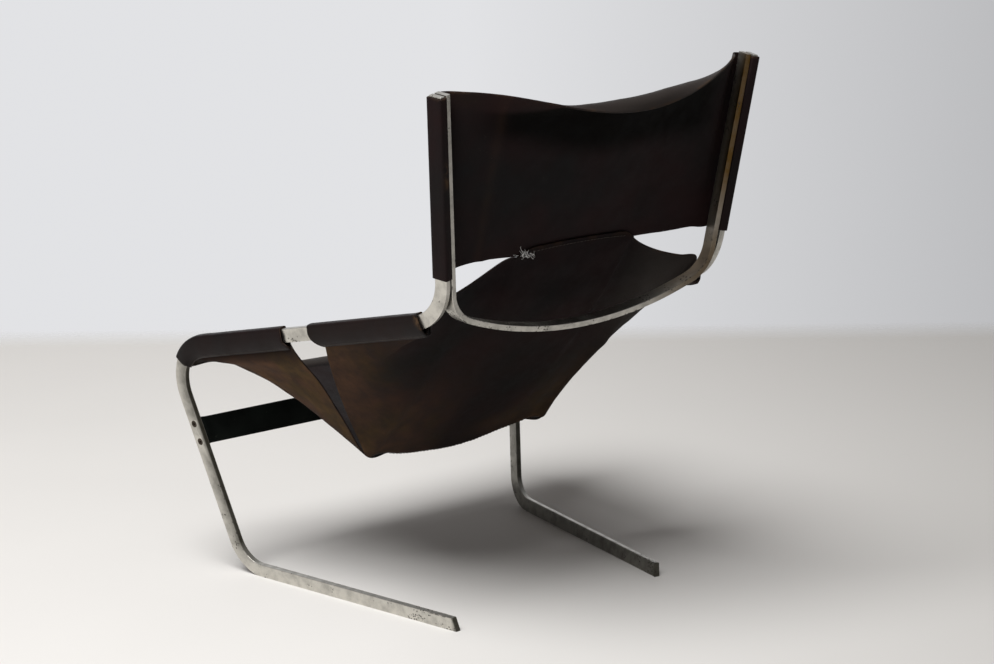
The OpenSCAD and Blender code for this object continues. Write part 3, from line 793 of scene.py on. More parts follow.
def steel_material(settings):
    """Bare steel. Attributes: worn where pitted, darkened under film and under painted shade,
    gilt under varnish.
    """
    material, lay, shader, place = new_material("bare_steel")
    wear = group_node(lay, steel_wear_group,
                      {"Vector": place, "Wear": lay.attribute("worn"),
                       "Section": lay.attribute("section", "Vector")})
    stains = wear["Stains"]
    film_and_shade = lay.times(lay.attribute("stained"), lay.ramp(stains, 0, 1, 0.93, 1.0))
    gilt = lay.times(lay.attribute("gilt"), lay.ramp(stains, 0, 1, 1.0, 0.86))
    color = lay.mix(stains, rgb(settings.steel_color), rgb(settings.steel_color, 0.70))
    # Film darkens the steel: partly age, partly painted shade on the legs' narrow rear edges
    color = lay.mix(film_and_shade, color, rgb(settings.film_and_shade_color))
    # Painted highlight: the bar's long edges drawn lighter, back towards bare steel
    color = lay.mix(lay.times(wear["Rim"], 0.25), color, rgb(settings.steel_color))
    color = lay.mix(gilt, color, rgb(settings.gilt_color))
    color = lay.mix(wear["Pits"], color, rgb(RUST_COLOR))
    dull = lay.larger(wear["Pits"], lay.times(film_and_shade, 0.5))
    lay.link(lay.minus(1.0, dull), shader, "Metallic")
    rough = lay.plus(lay.ramp(stains, 0, 1, 0.28, 0.42), lay.times(dull, 0.35))
    depth = lay.minus(lay.times(wear["Scratches"], 0.25), wear["Pits"])
    dress(lay, shader, color, rough, depth, 0.35, 0.25 * MM)
    return material


def paint_material(settings):
    material, lay, shader, place = new_material("blackened_crossbar")
    blotch = group_node(lay, blotch_group, {"Vector": place, "Broad": 14.0, "Small": 90.0})
    tone = lay.mix(blotch["Broad"], rgb(settings.paint_color), rgb(settings.paint_color, 2.2))
    chipped = lay.mix(blotch["Specks"], tone, rgb(CHIP_COLOR))
    shader.inputs[SPECULAR].default_value = 0.09
    rough = lay.ramp(blotch["Small"], 0, 1, 0.34, 0.52)
    dress(lay, shader, chipped, rough, blotch["Small"], 0.3, 0.2 * MM)
    return material


def screw_material(settings):
    material, lay, shader, place = new_material("browned_screws")
    blotch = group_node(lay, blotch_group, {"Vector": place, "Broad": 120.0, "Small": 500.0})
    tone = lay.mix(blotch["Broad"], rgb(settings.screw_color), rgb(settings.screw_color, 0.45))
    shader.inputs["Metallic"].default_value = 0.8
    rough = lay.ramp(blotch["Small"], 0, 1, 0.38, 0.6)
    dress(lay, shader, tone, rough, blotch["Small"], 0.4, 0.1 * MM)
    return material


def hide_material(settings, name, brown_share, gloss, shine, pale):
    """Worn hide. Attributes say where it is brown, dark at a seam or in painted shade, paler
    for fading and for painted sheen, scuffed or cut.
    """
    material, lay, shader, place = new_material(name)
    blotch = group_node(lay, blotch_group, {"Vector": place, "Broad": 7.0, "Small": 34.0})
    grain = group_node(lay, grain_group, {"Vector": place})
    small = blotch["Small"]
    color = lay.mix(blotch["Broad"], rgb(settings.hide_color, pale),
                    rgb(settings.plum_color, 0.4 + 0.6 * pale))
    # Painted shade goes near-black here, as do the front sheet's seam lines
    color = lay.mix(lay.attribute("ink"), color, rgb(SHADE_AND_SEAM_COLOR))
    warm = lay.times(lay.attribute("brown"), lay.ramp(small, 0, 1, 0.45, 1.0))
    yellow = lay.ramp(lay.noise(place, 12.0, 3.0), 0.44, 0.60)
    tan = lay.mix(yellow, rgb(settings.brown_color), rgb(settings.olive_color))
    color = lay.mix(lay.times(warm, brown_share), color, tan)
    # Paler grey where the hide has faded, and as painted sheen on the back's lip
    color = lay.mix(lay.attribute("faded"), color, rgb(settings.faded_color))
    scuff = lay.times(lay.attribute("scuff"), lay.ramp(small, 0.35, 0.75))
    edge = lay.times(lay.attribute("cut_edge"), lay.ramp(small, 0.2, 1.0, 0.0, 0.35))
    bare = lay.larger(scuff, edge)
    color = lay.mix(bare, color, rgb(settings.raw_color))
    color = lay.mix(lay.times(blotch["Specks"], 0.35), color, rgb(SPECK_COLOR))
    shader.inputs[SPECULAR].default_value = shine
    polish = lay.ramp(lay.plus(small, bare), 0.0, 1.6, gloss, gloss + 0.25)
    rough = lay.plus(polish, lay.times(lay.attribute("underside"), 0.42))
    dress(lay, shader, color, rough, grain["Height"], 0.32, 0.35 * MM)
    return material


def thread_material(settings):
    material, lay, shader, place = new_material("waxed_thread")
    twist = lay.noise(place, 1500.0, 2.0, 0.5)
    tone = lay.mix(twist, rgb(settings.thread_color, 0.5), rgb(settings.thread_color, 1.6))
    frayed = lay.mix(lay.attribute("frayed"), tone, rgb(FRAYED_COLOR))
    dress(lay, shader, frayed, lay.ramp(twist, 0, 1, 0.5, 0.7), twist, 0.5, 0.15 * MM)
    return material


# Steel pieces

BEND_PARTS = 36
STRAIGHT_PARTS = 6
CUT_STOPS = [12 * MM, 20 * MM, 32 * MM]
BORE_SIDES = 40
SCREW_SIDES = 48
NEAR_FLOOR = 2 * BAR_W
RUNNER_SLACK = 8 * MM
RUNNER_END_WAY = plane_direction(END_SLANT)
RUNNER_WEAR_L = 170 * MM
LEG_SHADE_FADE = 60 * MM
ARM_FOOT_Z = 600 * MM


def ring_stops():
    """Distances along the bar that follow its bends closely."""
    stops = [0.0]
    for _, _, length, radius in LINE:
        parts = BEND_PARTS if radius else STRAIGHT_PARTS
        start = stops[-1]
        stops.extend(start + length * k / parts for k in range(1, parts + 1))
    return stops[:1] + CUT_STOPS + stops[1:]


def tube(rings):
    """Vertices and outward faces of a closed tube; its rings turn left round their way."""
    sides = len(rings[0])
    last = (len(rings) - 1) * sides
    faces = [range(sides - 1, -1, -1)]
    for start in range(0, last, sides):
        for k in range(sides):
            a, b = start + k, start + (k + 1) % sides
            faces.append((a, b, b + sides, a + sides))
    faces.append(range(last, last + sides))
    return [point for ring in rings for point in ring], faces


def lathe(profile, sides):
    """A turned solid about Z: its profile is (radius, height, corners of a polygon or 0)."""
    rings = []
    for radius, height, corners in profile:
        ring = []
        for k in range(sides):
            a = 2 * math.pi * k / sides
            r = radius
            if corners:
                half = math.pi / corners
                r = radius * math.cos(half) / math.cos((a % (2 * half)) - half)
            ring.append((r * math.cos(a), r * math.sin(a), height))
        rings.append(ring)
    mesh = mesh_from("turned", *tube(rings))
    tidy_normals(mesh)
    return mesh


def crossbar_screw_points():
    """Places of the left leg's two screws on the outer face, in the frame's plane."""
    corner = np.array([0, HALF_W - BAR_T * math.tan(SPLAY)])
    return [corner + (CROSSBAR_UP + s * SCREW_PITCH / 2) * compass(HEADINGS[1])
            for s in (-1, 1)]


def bow_screw_points():
    return [on_line(POST_TOP - BOW_SCREW_TOP - k * BOW_SCREW_PITCH)[0]
            for k in range(BOW_SCREW_COUNT)]


def side_matrix(h, v, n):
    """Turns a turned solid's Z outwards at a point of the left frame's plane."""
    origin = in_plane(h, v, n, SHIFT_Y)
    rows = np.eye(4)
    rows[:3, 0], rows[:3, 1], rows[:3, 2], rows[:3, 3] = REARWARD, UPWARD, OUTWARD, origin
    return Matrix(rows.tolist())


def bore_cutter(name, holes):
    """One mesh of all bores: holes are (point, start, depth, countersunk)."""
    over = 2 * MM
    bore_r = SCREW_D / 2 + SCREW_PLAY
    head_r = SCREW_HEAD_D / 2 + SCREW_PLAY
    flare = (head_r - bore_r) / SCREW_HEAD_H
    cone = [(bore_r, -SCREW_HEAD_H, 0), (head_r + flare * over, over, 0)]
    joined = bpy.data.meshes.new(name)
    with edited(joined) as work:
        for point, start, depth, sunk in holes:
            top = cone if sunk else [(bore_r, over, 0)]
            mesh = lathe([(bore_r, -depth, 0), *top], BORE_SIDES)
            mesh.transform(side_matrix(point[0], point[1], start))
            work.from_mesh(mesh)
            bpy.data.meshes.remove(mesh)
    return new_object(name, joined)


def cut_away(obj, cutter):
    add_modifier(obj, "BOOLEAN", object=cutter, operation="DIFFERENCE", solver="EXACT")
    apply_modifiers(obj)
    bpy.data.objects.remove(cutter)


def trim(mesh, point, normal):
    """Cuts off what lies on the normal's side of a plane near the floor, and closes it."""
    with edited(mesh) as work:
        faces = [f for f in work.faces if max(v.co.z for v in f.verts) < NEAR_FLOOR]
        # A dict keeps its order, so each run cuts in the same one
        parts = dict.fromkeys(part for f in faces for part in (*f.verts, *f.edges, f))
        cut = bmesh.ops.bisect_plane(work, geom=list(parts), plane_co=Vector(point),
                                     plane_no=Vector(normal), clear_outer=True)
        edges = [e for e in cut["geom_cut"] if isinstance(e, bmesh.types.BMEdge)]
        bmesh.ops.edgeloop_fill(work, edges=edges)
        bmesh.ops.recalc_face_normals(work, faces=work.faces)


def store_values(mesh, name, values):
    attribute = mesh.attributes.get(name) or mesh.attributes.new(name, "FLOAT", "POINT")
    attribute.data.foreach_set("value", np.asarray(values, np.float32).ravel())


def mesh_points(mesh):
    points = np.empty(len(mesh.vertices) * 3)
    mesh.vertices.foreach_get("co", points)
    return points.reshape(-1, 3)


def bevel(obj, width, segments, degrees):
    """Rounds edges that turn by more than the angle, and keeps flat faces evenly shaded."""
    add_modifier(obj, "BEVEL", width=width, segments=segments, limit_method="ANGLE",
                 angle_limit=math.radians(degrees), use_clamp_overlap=True)
    add_modifier(obj, "WEIGHTED_NORMAL", keep_sharp=True, weight=100)


def soften(obj):
    crisp(obj.data, 50)
    bevel(obj, 0.3 * MM, 2, 55)


def bar_sweep(name, points, faces_to, settings, material):
    host = host_line(name, points, face_dir=faces_to)
    tree = bpy.data.node_groups.get("Flat bar") or flat_bar_tree()
    run_tree(host, tree, bar_width=BAR_W, bar_thickness=BAR_T,
             edge_radius=settings.edge_radius, edge_steps=settings.edge_steps,
             material=material)
    tidy_normals(host.data)
    return host


def mark_side_frame(mesh, stops, line):
    """Where a side frame is pitted (worn), and where it is darker: inner faces, the cut end,
    and painted shade on the leg's narrow rear edge.
    """
    points = mesh_points(mesh)
    from_end, from_foot, from_top = (np.linalg.norm(points - on_bar(d, 0, 0), axis=1)
                                     for d in (0, LEG_START, POST_TOP))
    worn = 0.10 + 0.9 * smoothstep(RUNNER_WEAR_L, 0, from_end)
    worn = worn + 0.35 * bell(from_foot, 0, 0.09) + 0.4 * bell(from_top, 0, 0.04)
    store_values(mesh, "worn", np.clip(worn, 0, 1))
    depth = (points - in_plane(0, 0, 0, SHIFT_Y)) @ OUTWARD
    inner_face = smoothstep(-0.85 * BAR_T, -0.98 * BAR_T, depth)
    on_runner = smoothstep(3 * BAR_W, BAR_W, points[:, 2])
    from_cut = (on_bar(0, HALF_W, 0) - points) @ RUNNER_END_WAY
    end_face = smoothstep(4 * MM, 0.5 * MM, from_cut) * (points[:, 2] < NEAR_FLOOR)
    # Painted shade on the leg's narrow rear edge, found by each point's offset from the bar's
    # middle line
    across = np.array([on_bar(d, 1, 0) - on_bar(d, 0, 0) for d in stops])
    nearest = np.argmin(((points[:, None] - line[None]) ** 2).sum(2), axis=1)
    offset = ((points - line[nearest]) * across[nearest]).sum(1)
    along = np.array(stops)[nearest]
    on_leg = smoothstep(LEG_START - LEG_SHADE_FADE, LEG_START, along)
    on_leg = on_leg * smoothstep(RAIL_START, RAIL_START - LEG_SHADE_FADE, along)
    rear_edge = smoothstep(-0.86 * HALF_W, -0.97 * HALF_W, offset) * on_leg
    # Darker inner faces, most on the runner, a dark cut end, and the painted shade on the rear
    # edge
    stained = np.maximum(inner_face * (0.40 + 0.45 * on_runner), end_face)
    store_values(mesh, "stained", np.maximum(stained, rear_edge))


def make_side_frame(settings, material):
    stops = ring_stops()
    points = [on_bar(d, 0, -BAR_T / 2) for d in stops]
    points[0] = points[0] + RUNNER_SLACK * unit(points[0] - points[1])
    widths = [plane_direction(on_line(d)[1] + 90) for d in stops]
    obj = bar_sweep("left_side_bar", points, widths, settings, material)
    trim(obj.data, on_bar(0, HALF_W, 0), RUNNER_END_WAY)
    trim(obj.data, (0, 0, 0), (0, 0, -1))
    holes = [(p, 0, BAR_T + 2 * MM, True)
             for p in crossbar_screw_points() + bow_screw_points()]
    cut_away(obj, bore_cutter("frame_bores", holes))
    mark_side_frame(obj.data, stops, np.array(points))
    soften(obj)
    return obj


def bow_line():
    """Points of the bow from one arm's top to the other, with the bar's width direction."""
    post = plane_direction(HEADINGS[3])
    up = unit(np.array([0, post[1], post[2]]))
    front = np.array([0, -up[2], up[1]])
    lean = math.atan2(post[0], math.hypot(post[1], post[2]))
    top = on_bar(POST_TOP, 0, -BAR_T * 1.5 - SANDWICH)
    arm_front = plane_direction(HEADINGS[3] + 90)
    reach = BOW_SAG_R - BOW_BEND_R
    start = math.asin((top[0] * math.cos(lean) + (BOW_SAG_R - BOW_H) * math.sin(lean)
                       - BOW_BEND_R) / reach) - lean
    centre = np.array([reach * math.sin(start), BOW_SAG_R - reach * math.cos(start)])
    foot = centre + BOW_BEND_R * np.array([math.cos(lean), -math.sin(lean)])
    half = [(BOW_SAG_R * math.sin(a), BOW_SAG_R * (1 - math.cos(a)), a)
            for a in np.linspace(0, start, 26)]
    half += [(centre[0] + BOW_BEND_R * math.sin(a), centre[1] - BOW_BEND_R * math.cos(a), a)
             for a in np.linspace(start, math.pi / 2 - lean, 31)[1:]]
    half += [(*lerp(foot, np.array([top[0], BOW_H]), t), math.pi / 2 - lean)
             for t in np.linspace(0, 1, 9)[1:]]
    points, widths = [], []
    for x, q, a in half:
        t = smoothstep(BOW_TWIST_SHARE, 1, x / foot[0])
        along = np.array([math.cos(a), 0, 0]) + math.sin(a) * up
        raw = lerp(front, arm_front, t)
        widths.append(unit(raw - (raw @ along) * along))
        points.append(np.array([x, top[1], top[2]]) + (q - BOW_H) * up)
    flip = np.array([-1, 1, 1])
    points = [p * flip for p in points[:0:-1]] + points
    widths = [w * flip for w in widths[:0:-1]] + widths
    return points, widths


def mark_bow(mesh):
    """Where the bow is pitted; its right arm is dark inside and yellowed on its rear edge."""
    points = mesh_points(mesh)
    x, z = points[:, 0], points[:, 2]
    low = smoothstep(0.10, 0, z - z.min())
    bend = bell(np.abs(x), 0.26, 0.06) * smoothstep(0.72, ARM_FOOT_Z, z)
    store_values(mesh, "worn", np.clip(0.2 + 0.2 * low + 0.4 * bend, 0, 1))
    as_left = np.column_stack([np.abs(x), points[:, 1:]])
    across = (as_left - on_bar(POST_TOP, 0, 0)) @ plane_direction(HEADINGS[3] + 90)
    rear = smoothstep(0.3 * HALF_W, -0.9 * HALF_W, across)
    arm = smoothstep(ARM_FOOT_Z, 0.68, z)
    near_arm = smoothstep(-0.10, -0.27, x)
    inside = np.where(x < 0, (1 - rear) * 0.95 * smoothstep(0.935, 0.86, z), 0)
    bend_film = 0.55 * near_arm * smoothstep(0.70, ARM_FOOT_Z, z)
    store_values(mesh, "stained", np.clip(np.maximum(arm * (inside + 0.1), bend_film), 0, 1))
    upper = np.clip(2 * rear, 0, 1) * smoothstep(ARM_FOOT_Z, 0.74, z)
    gilt = near_arm * (0.72 * (1 - arm) + arm * upper)
    store_values(mesh, "gilt", np.clip(gilt, 0, 1))


def make_bow(settings, material):
    points, widths = bow_line()
    obj = bar_sweep("back_bow_bar", points, widths, settings, material)
    bite = BAR_T - SCREW_HEAD_H + SCREW_PLAY
    holes = [(p, -BAR_T - SANDWICH, bite, False) for p in bow_screw_points()]
    for side in (1, -1):
        cutter = bore_cutter("bow_bores", holes)
        cutter.data.transform(Matrix.Scale(side, 4, (1, 0, 0)))
        tidy_normals(cutter.data)
        cut_away(obj, cutter)
    mark_bow(obj.data)
    soften(obj)
    return obj


def make_crossbar(material):
    """The CAD crossbar, merged, with rounded edges."""
    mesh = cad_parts["front_crossbar"].data.copy()
    mesh.name = "crossbar_plate"
    mesh.materials.clear()
    with edited(mesh) as work:
        bmesh.ops.remove_doubles(work, verts=work.verts, dist=0.002 * MM)
        bmesh.ops.dissolve_limit(work, angle_limit=math.radians(1), verts=work.verts,
                                 edges=work.edges)
    obj = new_object("crossbar_plate", mesh, material)
    crisp(mesh, 30)
    bevel(obj, 0.6 * MM, 3, 50)
    return obj


def screw_mesh(length):
    """Countersunk screw with a hexagon socket, its head's face at z = 0."""
    head_r = SCREW_HEAD_D / 2
    socket_r = SOCKET_D / 2
    soft = 0.3 * MM
    return lathe([
        (SCREW_D / 2 - 2 * soft, -length, 0),
        (SCREW_D / 2, -length + 2 * soft, 0),
        (SCREW_D / 2, -SCREW_HEAD_H, 0),
        (head_r, -soft * 2, 0),
        (head_r, -soft, 0),
        (head_r - soft, 0, 0),
        (socket_r + soft * 1.5, 0, 0),
        (socket_r + soft / 2, -soft / 2, 6),
        (socket_r, -soft, 6),
        (socket_r, -SOCKET_H, 6),
        (socket_r / 4, -SOCKET_H - soft, 6),
    ], SCREW_SIDES)


def make_screws(name, points, length, material):
    """A group of like screws on the left side frame, set by a geometry tree."""
    places = [in_plane(p[0], p[1], 0, SHIFT_Y) for p in points]
    host = host_line(name, places, face_dir=[REARWARD] * len(places),
                     out_dir=[OUTWARD] * len(places))
    set_copies(host, screw_mesh(length), "Screws", screw_tree, spin=math.pi, seed=5,
               material=material)
    crisp(host.data, 32)
    return host


# Hide


def at_seam(d):
    return on_bar(d, *SEAM)


FRONT_START = RAIL_START - FRONT_SLEEVE_LEAD
FRONT_END = FRONT_START + FRONT_SLEEVE_L
REAR_END = POST_START - REAR_SLEEVE_TAIL
REAR_START = REAR_END - REAR_SLEEVE_L
KINK_POINT = at_seam(FRONT_START) - KINK
FRONT_MID = np.array([0, KINK_POINT[1], KINK_POINT[2] - FRONT_SAG])
CREASE_TIP = at_seam(FRONT_END) - TIP
CREASE_MID = np.array([0, CREASE_TIP[1], CREASE_TIP[2] - CREASE_SAG])
POCKET_LOW = POST_START + POCKET_START
POCKET_HIGH = POST_TOP - POCKET_END
WING_N = 2 * BAR_T + SANDWICH + WING_STEP
LOW_END = on_bar(POCKET_LOW, HALF_W + WRAP, -WING_N)
LIP_END = on_bar(POCKET_HIGH, HALF_W + WRAP, -WING_N)
WEB_N = BAR_T + WRAP + HIDE_T + CORNER_CLEAR
WALL_OUT = np.array([0, 0.8, -0.6])
EDGE_BULGE = 0.9 * MM
EDGE_ANGLES = (56, 22, -22, -56)

# Folds of the front sheet: place along the sleeve, turn, and depth
FRONT_FOLDS = ((24 * MM, 0.10, 1.5 * MM), (47 * MM, -0.04, -1.1 * MM),
               (78 * MM, -0.12, 0.8 * MM))
# Rubbed spots of the front sheet: x and y, radius, and strength
SCUFFED_SPOTS = (((0.232, 0.01), 10 * MM, 1.0), ((0.300, -0.20), 16 * MM, 0.8))


def edge_curve(end, mid, round_share, hump, u):
    u2, u4 = u * u, u ** 4
    return np.array([end[0] * u,
                     mid[1] + (end[1] - mid[1]) * (round_share * u2 + (1 - round_share) * u4),
                     mid[2] + (end[2] - mid[2]) * u4 + hump * (u2 - u4)])


def low_edge(u):
    mid = LOW_END - np.array([0, LOW_AHEAD, LOW_DROP])
    slack = LOW_SLACK * bell(u, -0.72, 0.2)
    return edge_curve(LOW_END, mid, LOW_ROUND_SHARE, LOW_HUMP, u) - np.array([0, 0, slack])


def lip_edge(u):
    mid = LIP_END + np.array([0, LIP_BACK, -LIP_DROP])
    return edge_curve(LIP_END, mid, LIP_ROUND_SHARE, LIP_HUMP, u)


def lip_turn(u):
    """How far the upper edge rolls back: most on the sitter's right, a little forward left."""
    width = LIP_ROLL_WIDTHS[int(u > LIP_ROLL_AT)]
    rolled = LIP_ROLL * bell(u, LIP_ROLL_AT, width)
    upright = LIP_UPRIGHT * bell(u, 0.75, 0.25)
    return (rolled - upright) * (1 - u ** 8)


def back_at(u, w):
    """Point of the back sheet: u from -1 to 1 across, w from lower to upper edge."""
    low, lip = low_edge(u), lip_edge(u)
    ahead = lip_edge(u + 0.01) - lip_edge(u - 0.01)
    rear = unit(np.array([-ahead[1], ahead[0], 0]))
    up = np.array([0, 0, 1])
    turn = lip_turn(u)
    turn = math.copysign(max(abs(turn), 1e-3), turn)
    radius = LIP_BAND / turn
    rise = lip - low
    for _ in range(6):
        lean = math.atan2(rise @ rear, rise[2])
        middle = lean + turn / 2
        chord = 2 * radius * math.sin(turn / 2)
        start = lip - chord * (math.sin(middle) * rear + math.cos(middle) * up)
        rise = start - low
    straight = np.linalg.norm(start - low)
    share = straight / (straight + LIP_BAND)
    if w < share:
        return lerp(low, start, w / share)
    a = lean + turn * (w - share) / (1 - share)
    return (start + radius * (math.cos(lean) - math.cos(a)) * rear
            + radius * (math.sin(a) - math.sin(lean)) * up)


def behind_back(x, lap):
    u = x / LOW_END[0]
    up = unit(back_at(u, 0.25) - low_edge(u))
    side = unit(low_edge(u + 0.01) - low_edge(u - 0.01))
    return low_edge(u) + lap * up - (HIDE_T + TONGUE_GAP) * unit(np.cross(side, up))


def with_mirror(half_rows):
    """Rows from sleeve to middle, joined with their mirror images."""
    half = np.array(half_rows)
    twin = half[:, -2::-1] * np.array([-1, 1, 1])
    return np.concatenate([half, twin], axis=1)


def crease_dip(s):
    """How far the crease hangs below the CAD's line, s from the middle to its tip."""
    return CREASE_DIP * (1 - s * s) ** 2 - CREASE_END_LIFT * bell(s, 0.84, 0.12)


def front_control():
    """Control grid of the front seat sheet, rows along the sleeve."""
    flank_steps, bottom_steps = len(EAR_SHAPE) - 1, 4
    stops = [lerp(FRONT_START, RAIL_START, k / 8) for k in range(8)]
    stops += [lerp(RAIL_START, FRONT_END, k / 6) for k in range(7)]
    rows = []
    for i, d in enumerate(stops):
        v = (d - FRONT_START) / FRONT_SLEEVE_L
        off = np.array([0, -CREASE_PART if i == len(stops) - 1 else 0, 0])
        fold = lerp(KINK_POINT, CREASE_TIP, v) + off
        fold[2] += FOLD_RISE * swell(v ** 0.75) + KINK_LIFT * (1 - v) ** 2
        mid = lerp(FRONT_MID, CREASE_MID, v) + off
        narrow = FRONT_NARROW * smoothstep(0, -FRONT_SLEEVE_LEAD, d - RAIL_START)
        ear = EAR * smoothstep(0.8, 1, v) * plane_direction(HEADINGS[2])
        row = []
        for m, n in SLEEVE:
            low = m < -HALF_W - 2 * HUG
            row.append(on_bar(d, m + narrow if low else m, n) + 0.45 * low * ear)
        seam = on_bar(d, SEAM[0] + narrow, SEAM[1])
        lift = np.array([0, 0, FLANK_LIFT * smoothstep(0.4, 0, v)])
        for k, out in enumerate(EAR_SHAPE):
            s = k / flank_steps
            row.append(lerp(seam, fold, s) + swell(s) * lift + out * ear)
        for k in range(1, bottom_steps + 1):
            s = k / bottom_steps
            q = lerp(fold, mid, s)
            drop = fold[2] + (mid[2] - fold[2]) * (1 - (1 - s) ** 2)
            belly = FRONT_BELLY * swell(v) * s + crease_dip(1 - s) * v ** 3
            row.append(np.array([q[0], q[1], drop - belly]))
        rows.append(row)
    return with_mirror(rows)


def rear_control():
    """Control grid of the rear seat sheet, rows from the crease up to the tongue."""
    rows_n, flank_n, edge_n, tongue_n = 8, 7, 6, 4
    corner = on_bar(REAR_END + CORNER_REACH, CORNER_M, -WEB_N)
    foot = behind_back(TONGUE_HALF, 0)
    side_edge = [foot, foot + TONGUE_LEAD, corner + RAIL_LEAD, corner]
    top = [at_seam(REAR_END),
           on_bar(REAR_END, SEAM[0] - FOLD_OUT, -SEAM_N - FOLD_IN),
           on_bar(REAR_END, SEAM[0] + FOLD_OUT, -WEB_N),
           on_bar(REAR_END + CORNER_REACH / 2, 0, -WEB_N), corner]
    top += [bezier(side_edge, 1 - FLANK_EDGE_SHARE * k / 3) for k in (1, 2, 3)]
    top += [bezier(side_edge, (1 - FLANK_EDGE_SHARE) * (1 - k / edge_n))
            for k in range(1, edge_n + 1)]
    for k in range(1, tongue_n + 1):
        s = 1 if k == 1 else 1 - (k - 1) / (tongue_n - 1)
        top.append(behind_back(TONGUE_TOP_HALF * s,
                               lerp(TONGUE_LAP, TONGUE_CORNER_LAP, s * s)))
    tip = CREASE_TIP + np.array([0, CREASE_PART, 0])
    bottom = [lerp(at_seam(REAR_START), tip, k / flank_n)
              - np.array([0, NOTCH_BOW * swell(k / flank_n), 0]) for k in range(flank_n + 1)]
    across = edge_n + tongue_n
    bottom += [np.array([tip[0] * (1 - k / across), tip[1],
                         tip[2] - CREASE_SAG * (1 - (1 - k / across) ** 2)
                         - crease_dip(1 - k / across)])
               for k in range(1, across + 1)]
    last = len(top) - tongue_n
    under = [top[j] - HEM * unit(top[j] - bottom[j]) if j < last
             else behind_back(top[j][0], 0) for j in range(len(top))]
    rows = []
    for i in range(rows_n + 2):
        v = min(1, i / rows_n)
        d = REAR_END if i > rows_n else lerp(REAR_START, REAR_END - HEM, v)
        row = []
        for m, n in SLEEVE:
            reach = math.sin(math.pi / 2 * min(1, (m + HALF_W + SLEEVE_FLAP) / BAR_W))
            row.append(on_bar(d - REAR_SLEEVE_LEAD * reach * (1 - v), m, n))
        for j in range(len(top)):
            out = REAR_BELLY * swell(v) * min(1, j / flank_n)
            if j == 0:
                row.append(at_seam(d))
            elif i > rows_n:
                row.append(top[j])
            else:
                row.append(lerp(bottom[j], under[j], v) + out * WALL_OUT)
        rows.append(row)
    return with_mirror(rows)


def back_control():
    """Control grid of the back sheet, rows from the lower edge to the rolled lip."""
    rows = []
    stops = [k / 10 for k in range(7)] + [0.68 + 0.32 * k / 8 for k in range(9)]
    for w in stops:
        d = lerp(POCKET_LOW, POCKET_HIGH, w)
        pocket = [on_bar(d, m, n) for m, n in POCKET]
        row = pocket + [back_at(1 - k / 9, w) for k in range(19)]
        row += [q * np.array([-1, 1, 1]) for q in pocket[::-1]]
        rows.append(row)
    return np.array(rows)


def spline_weights(knots, step):
    """Weights of a smooth line through points at these knots, and its own stops."""
    count = len(knots)
    gaps = np.diff(knots)
    slope = np.zeros((count, count))
    slope[0, :2] = -1 / gaps[0], 1 / gaps[0]
    slope[-1, -2:] = -1 / gaps[-1], 1 / gaps[-1]
    for i in range(1, count - 1):
        a, b = gaps[i - 1], gaps[i]
        slope[i, i - 1] = -b / (a * (a + b))
        slope[i, i] = (b - a) / (a * b)
        slope[i, i + 1] = a / (b * (a + b))
    weights, stops = [], []
    for i, gap in enumerate(gaps):
        parts = max(2, round(gap / step))
        for k in range(parts):
            t = k / parts
            w = gap * ((t ** 3 - 2 * t ** 2 + t) * slope[i] + (t ** 3 - t ** 2) * slope[i + 1])
            w[i] += 2 * t ** 3 - 3 * t ** 2 + 1
            w[i + 1] += 3 * t ** 2 - 2 * t ** 3
            weights.append(w)
            stops.append(knots[i] + gap * t)
    last = np.zeros(count)
    last[-1] = 1
    return np.array(weights + [last]), np.array(stops + [knots[-1]])


def knots_of(grid, axis):
    """Mean distances from line to line of the grid, added up."""
    gaps = np.linalg.norm(np.diff(grid, axis=axis), axis=2).mean(axis=1 - axis)
    return np.concatenate([[0], np.cumsum(np.maximum(gaps, 0.4 * MM))])


def fine_grid(grid, step):
    """The smooth surface through the control grid, with its stops both ways."""
    row_weights, row_stops = spline_weights(knots_of(grid, 0), step)
    col_weights, col_stops = spline_weights(knots_of(grid, 1), step)
    return np.einsum("ri,cj,ijk->rck", row_weights, col_weights, grid), row_stops, col_stops


def grid_normals(grid):
    rows = np.gradient(grid, axis=0)
    cols = np.gradient(grid, axis=1)
    normals = np.cross(rows, cols)
    return normals / np.maximum(np.linalg.norm(normals, axis=2, keepdims=True), 1e-12)


def cloud(points, scale, seed):
    """Smooth noise from -1 to 1 at each point."""
    offset = Vector((seed * 7.3, seed * 3.1, seed * 5.7))
    return np.array([noise.noise(Vector(p) * scale + offset) for p in points.reshape(-1, 3)]
                    ).reshape(points.shape[:2])


def layered(grid, *layers):
    """Sum of clouds, each given as amount, scale and seed."""
    return sum(share * cloud(grid, scale, seed) for share, scale, seed in layers)


def border_of(rows, cols):
    """Grid places round the border in order, with the step that leads inwards."""
    walk = [(0, j, 1, 0) for j in range(cols - 1)]
    walk += [(i, cols - 1, 0, -1) for i in range(rows - 1)]
    walk += [(rows - 1, j, -1, 0) for j in range(cols - 1, 0, -1)]
    walk += [(i, 0, 0, 1) for i in range(rows - 1, 0, -1)]
    return walk


